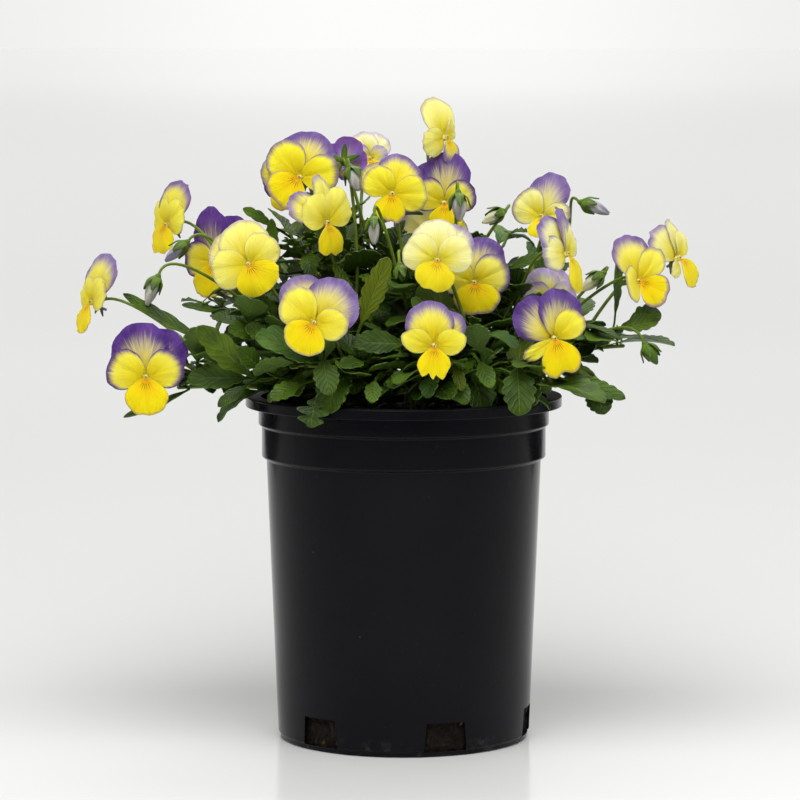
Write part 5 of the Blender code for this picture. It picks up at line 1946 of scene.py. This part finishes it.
def mix_material():
    """Dark peat with bark, pale fibres and a few tan crumbs."""
    s = Shader("potting_mix")
    place = s.place()
    lumps = s.noise(place, 160.0, 5.0, 0.7)
    crumbs = s.node("ShaderNodeTexVoronoi", {"Vector": place, "Scale": 420.0}).outputs
    value = s.out("ShaderNodeSeparateColor", {0: Value(s, crumbs["Color"])})
    colour = s.mix(s.smooth(lumps, 0.35, 0.7), srgb(10, 8, 6), srgb(34, 25, 17))
    colour = s.mix(s.smooth(value, 0.95, 0.97) * 0.7, colour, srgb(128, 88, 46))
    fibre = s.noise(s.stretched((900.0, 200.0, 120.0)), 1.0)
    colour = s.mix(s.smooth(fibre, 0.62, 0.72, 0.0, 0.4), colour, srgb(82, 64, 44))
    s.set(Base_Color=colour, Roughness=0.95, Specular_IOR_Level=0.2)
    s.bump(lumps + Value(s, crumbs["Distance"]) * 0.6, 0.0016)
    return s.material


# Studio


def area_light(name, place, target, size, power):
    """A soft square light that faces the target, with its places and size in millimetres."""
    data = bpy.data.lights.new(name, "AREA")
    data.shape = "SQUARE"
    data.size = size * MM
    data.energy = power
    made = new_object(name, data)
    made.location = Vector(place) * MM
    away = Vector(target) * MM - made.location
    made.rotation_euler = away.to_track_quat("-Z", "Y").to_euler()


def floor_material():
    """A pale glossy floor with a painted shadow behind the pot, and painted light that it emits in the
    distance.
    """
    s = Shader("floor")
    x, y, _ = s.parts(s.place())
    # Painted shadow: the floor's colour darkens behind the pot, widest near it, fading to the sides and far
    # back
    sideways = s.math("EXPONENT", x * x * (-1 / SHADE_WIDTH**2))
    past = s.math("MAXIMUM", y - SHADE_FROM, 0.0)
    fade = s.math("EXPONENT", past * (-1 / SHADE_LENGTH))
    shade = s.smooth(y, -0.09, SHADE_FROM) * fade * (sideways * 0.46)
    colour = s.mix(shade, (0.80, 0.805, 0.795, 1.0), (0.0, 0.0, 0.0, 1.0))
    # Painted light: the floor emits a glow that rises into the distance, brighter along the middle
    spread = abs(x) / s.math("MAXIMUM", y, 1.0)
    middle = s.smooth(spread, 0.125, 0.02) * s.smooth(y, 2.0, 30.0, 0.0, 0.105)
    glow = s.smooth(y, 0.1, 2.4, 0.0, 0.255) + s.smooth(y, 8.0, 40.0, 0.0, 0.055) + middle
    s.set(Base_Color=colour, Roughness=0.14, Specular_IOR_Level=0.17)
    s.set(Emission_Color=(1.0, 1.0, 0.99, 1.0), Emission_Strength=glow)
    return s.material


def mat_material():
    """Black from above, and clear from below, so that the glossy floor doesn't mirror it."""
    s = Shader("dark_mat")
    below = s.out("ShaderNodeNewGeometry", (), "Backfacing")
    s.set(Base_Color=(0.004, 0.004, 0.004, 1.0), Roughness=1.0, Specular_IOR_Level=0.0, Alpha=1.0 - below)
    return s.material


def stage_plate(name, corners, height, material):
    """A level rectangle of the stage, by two corners and its height in metres."""
    (x0, y0), (x1, y1) = corners
    mesh = bpy.data.meshes.new(name)
    outline = ((x0, y0), (x1, y0), (x1, y1), (x0, y1))
    mesh.from_pydata([(x, y, height) for x, y in outline], [], [(0, 1, 2, 3)])
    mesh.materials.append(material)
    made = new_object(name, mesh)
    return made


def make_surroundings():
    """Light from all round: dim from the front, bright from above and behind."""
    world = bpy.data.worlds.new("studio")
    bpy.context.scene.world = world
    world.use_nodes = True
    n = Nodes(world.node_tree)
    background = n.tree.nodes["Background"]
    x, y, _ = n.parts(n.out("ShaderNodeTexCoord", (), "Generated"))
    light = n.smooth(y, -0.75, 0.0, 0.10, 0.62)
    seen = n.smooth(abs(x), 0.125, 0.02, 0.873, 0.985)
    in_view = n.out("ShaderNodeLightPath", (), "Is Camera Ray")
    n.join(n.out("ShaderNodeMix", {"Factor": in_view, "A": light, "B": seen}), background.inputs["Strength"])
    background.inputs["Color"].default_value = (0.99, 1.0, 0.985, 1.0)


def make_camera():
    """The camera, level with the photograph's."""
    data = bpy.data.cameras.new("camera")
    data.lens = CAMERA_LENS
    data.sensor_width = 36.0
    data.clip_end = 1000.0
    camera = new_object("camera", data)
    camera.location = Vector(CAMERA_PLACE) * MM
    camera.rotation_euler = (math.radians(90 - CAMERA_PITCH), 0.0, 0.0)
    bpy.context.scene.camera = camera


def make_stage():
    """The floor, the mats that the pot mirrors, the lights, the surroundings and the camera."""
    stage_plate("floor", FLOOR_CORNERS, 0.0, floor_material())
    black = mat_material()
    for name, corners in MATS.items():
        mat = stage_plate(name, corners, MAT_HEIGHT, black)
        mat.visible_camera = False
        mat.visible_diffuse = False
        mat.visible_transmission = False
        mat.visible_shadow = False
    for name, place, target, size, power in LIGHTS:
        area_light(name, place, target, size, power)
    make_surroundings()
    make_camera()
    bpy.context.scene.view_settings.view_transform = "Standard"


def main():
    """Dresses the frame and sets the stage."""
    make_stage()
    growth = Growth()
    growth.thicken()
    petal = petal_material()
    foliage = foliage_material()
    dress(make_pot(pot_material()), "pot")
    dress(make_mix(mix_material()), "potting_mix")
    for stem in range(len(STEMS)):
        dress(make_stem(stem, growth, foliage), stem_name(stem))
    for rows, make in ((BLOOMS, make_bloom), (BUDS, make_bud)):
        for index, name in enumerate(rows):
            dress(make(name, index, petal), name)


main()
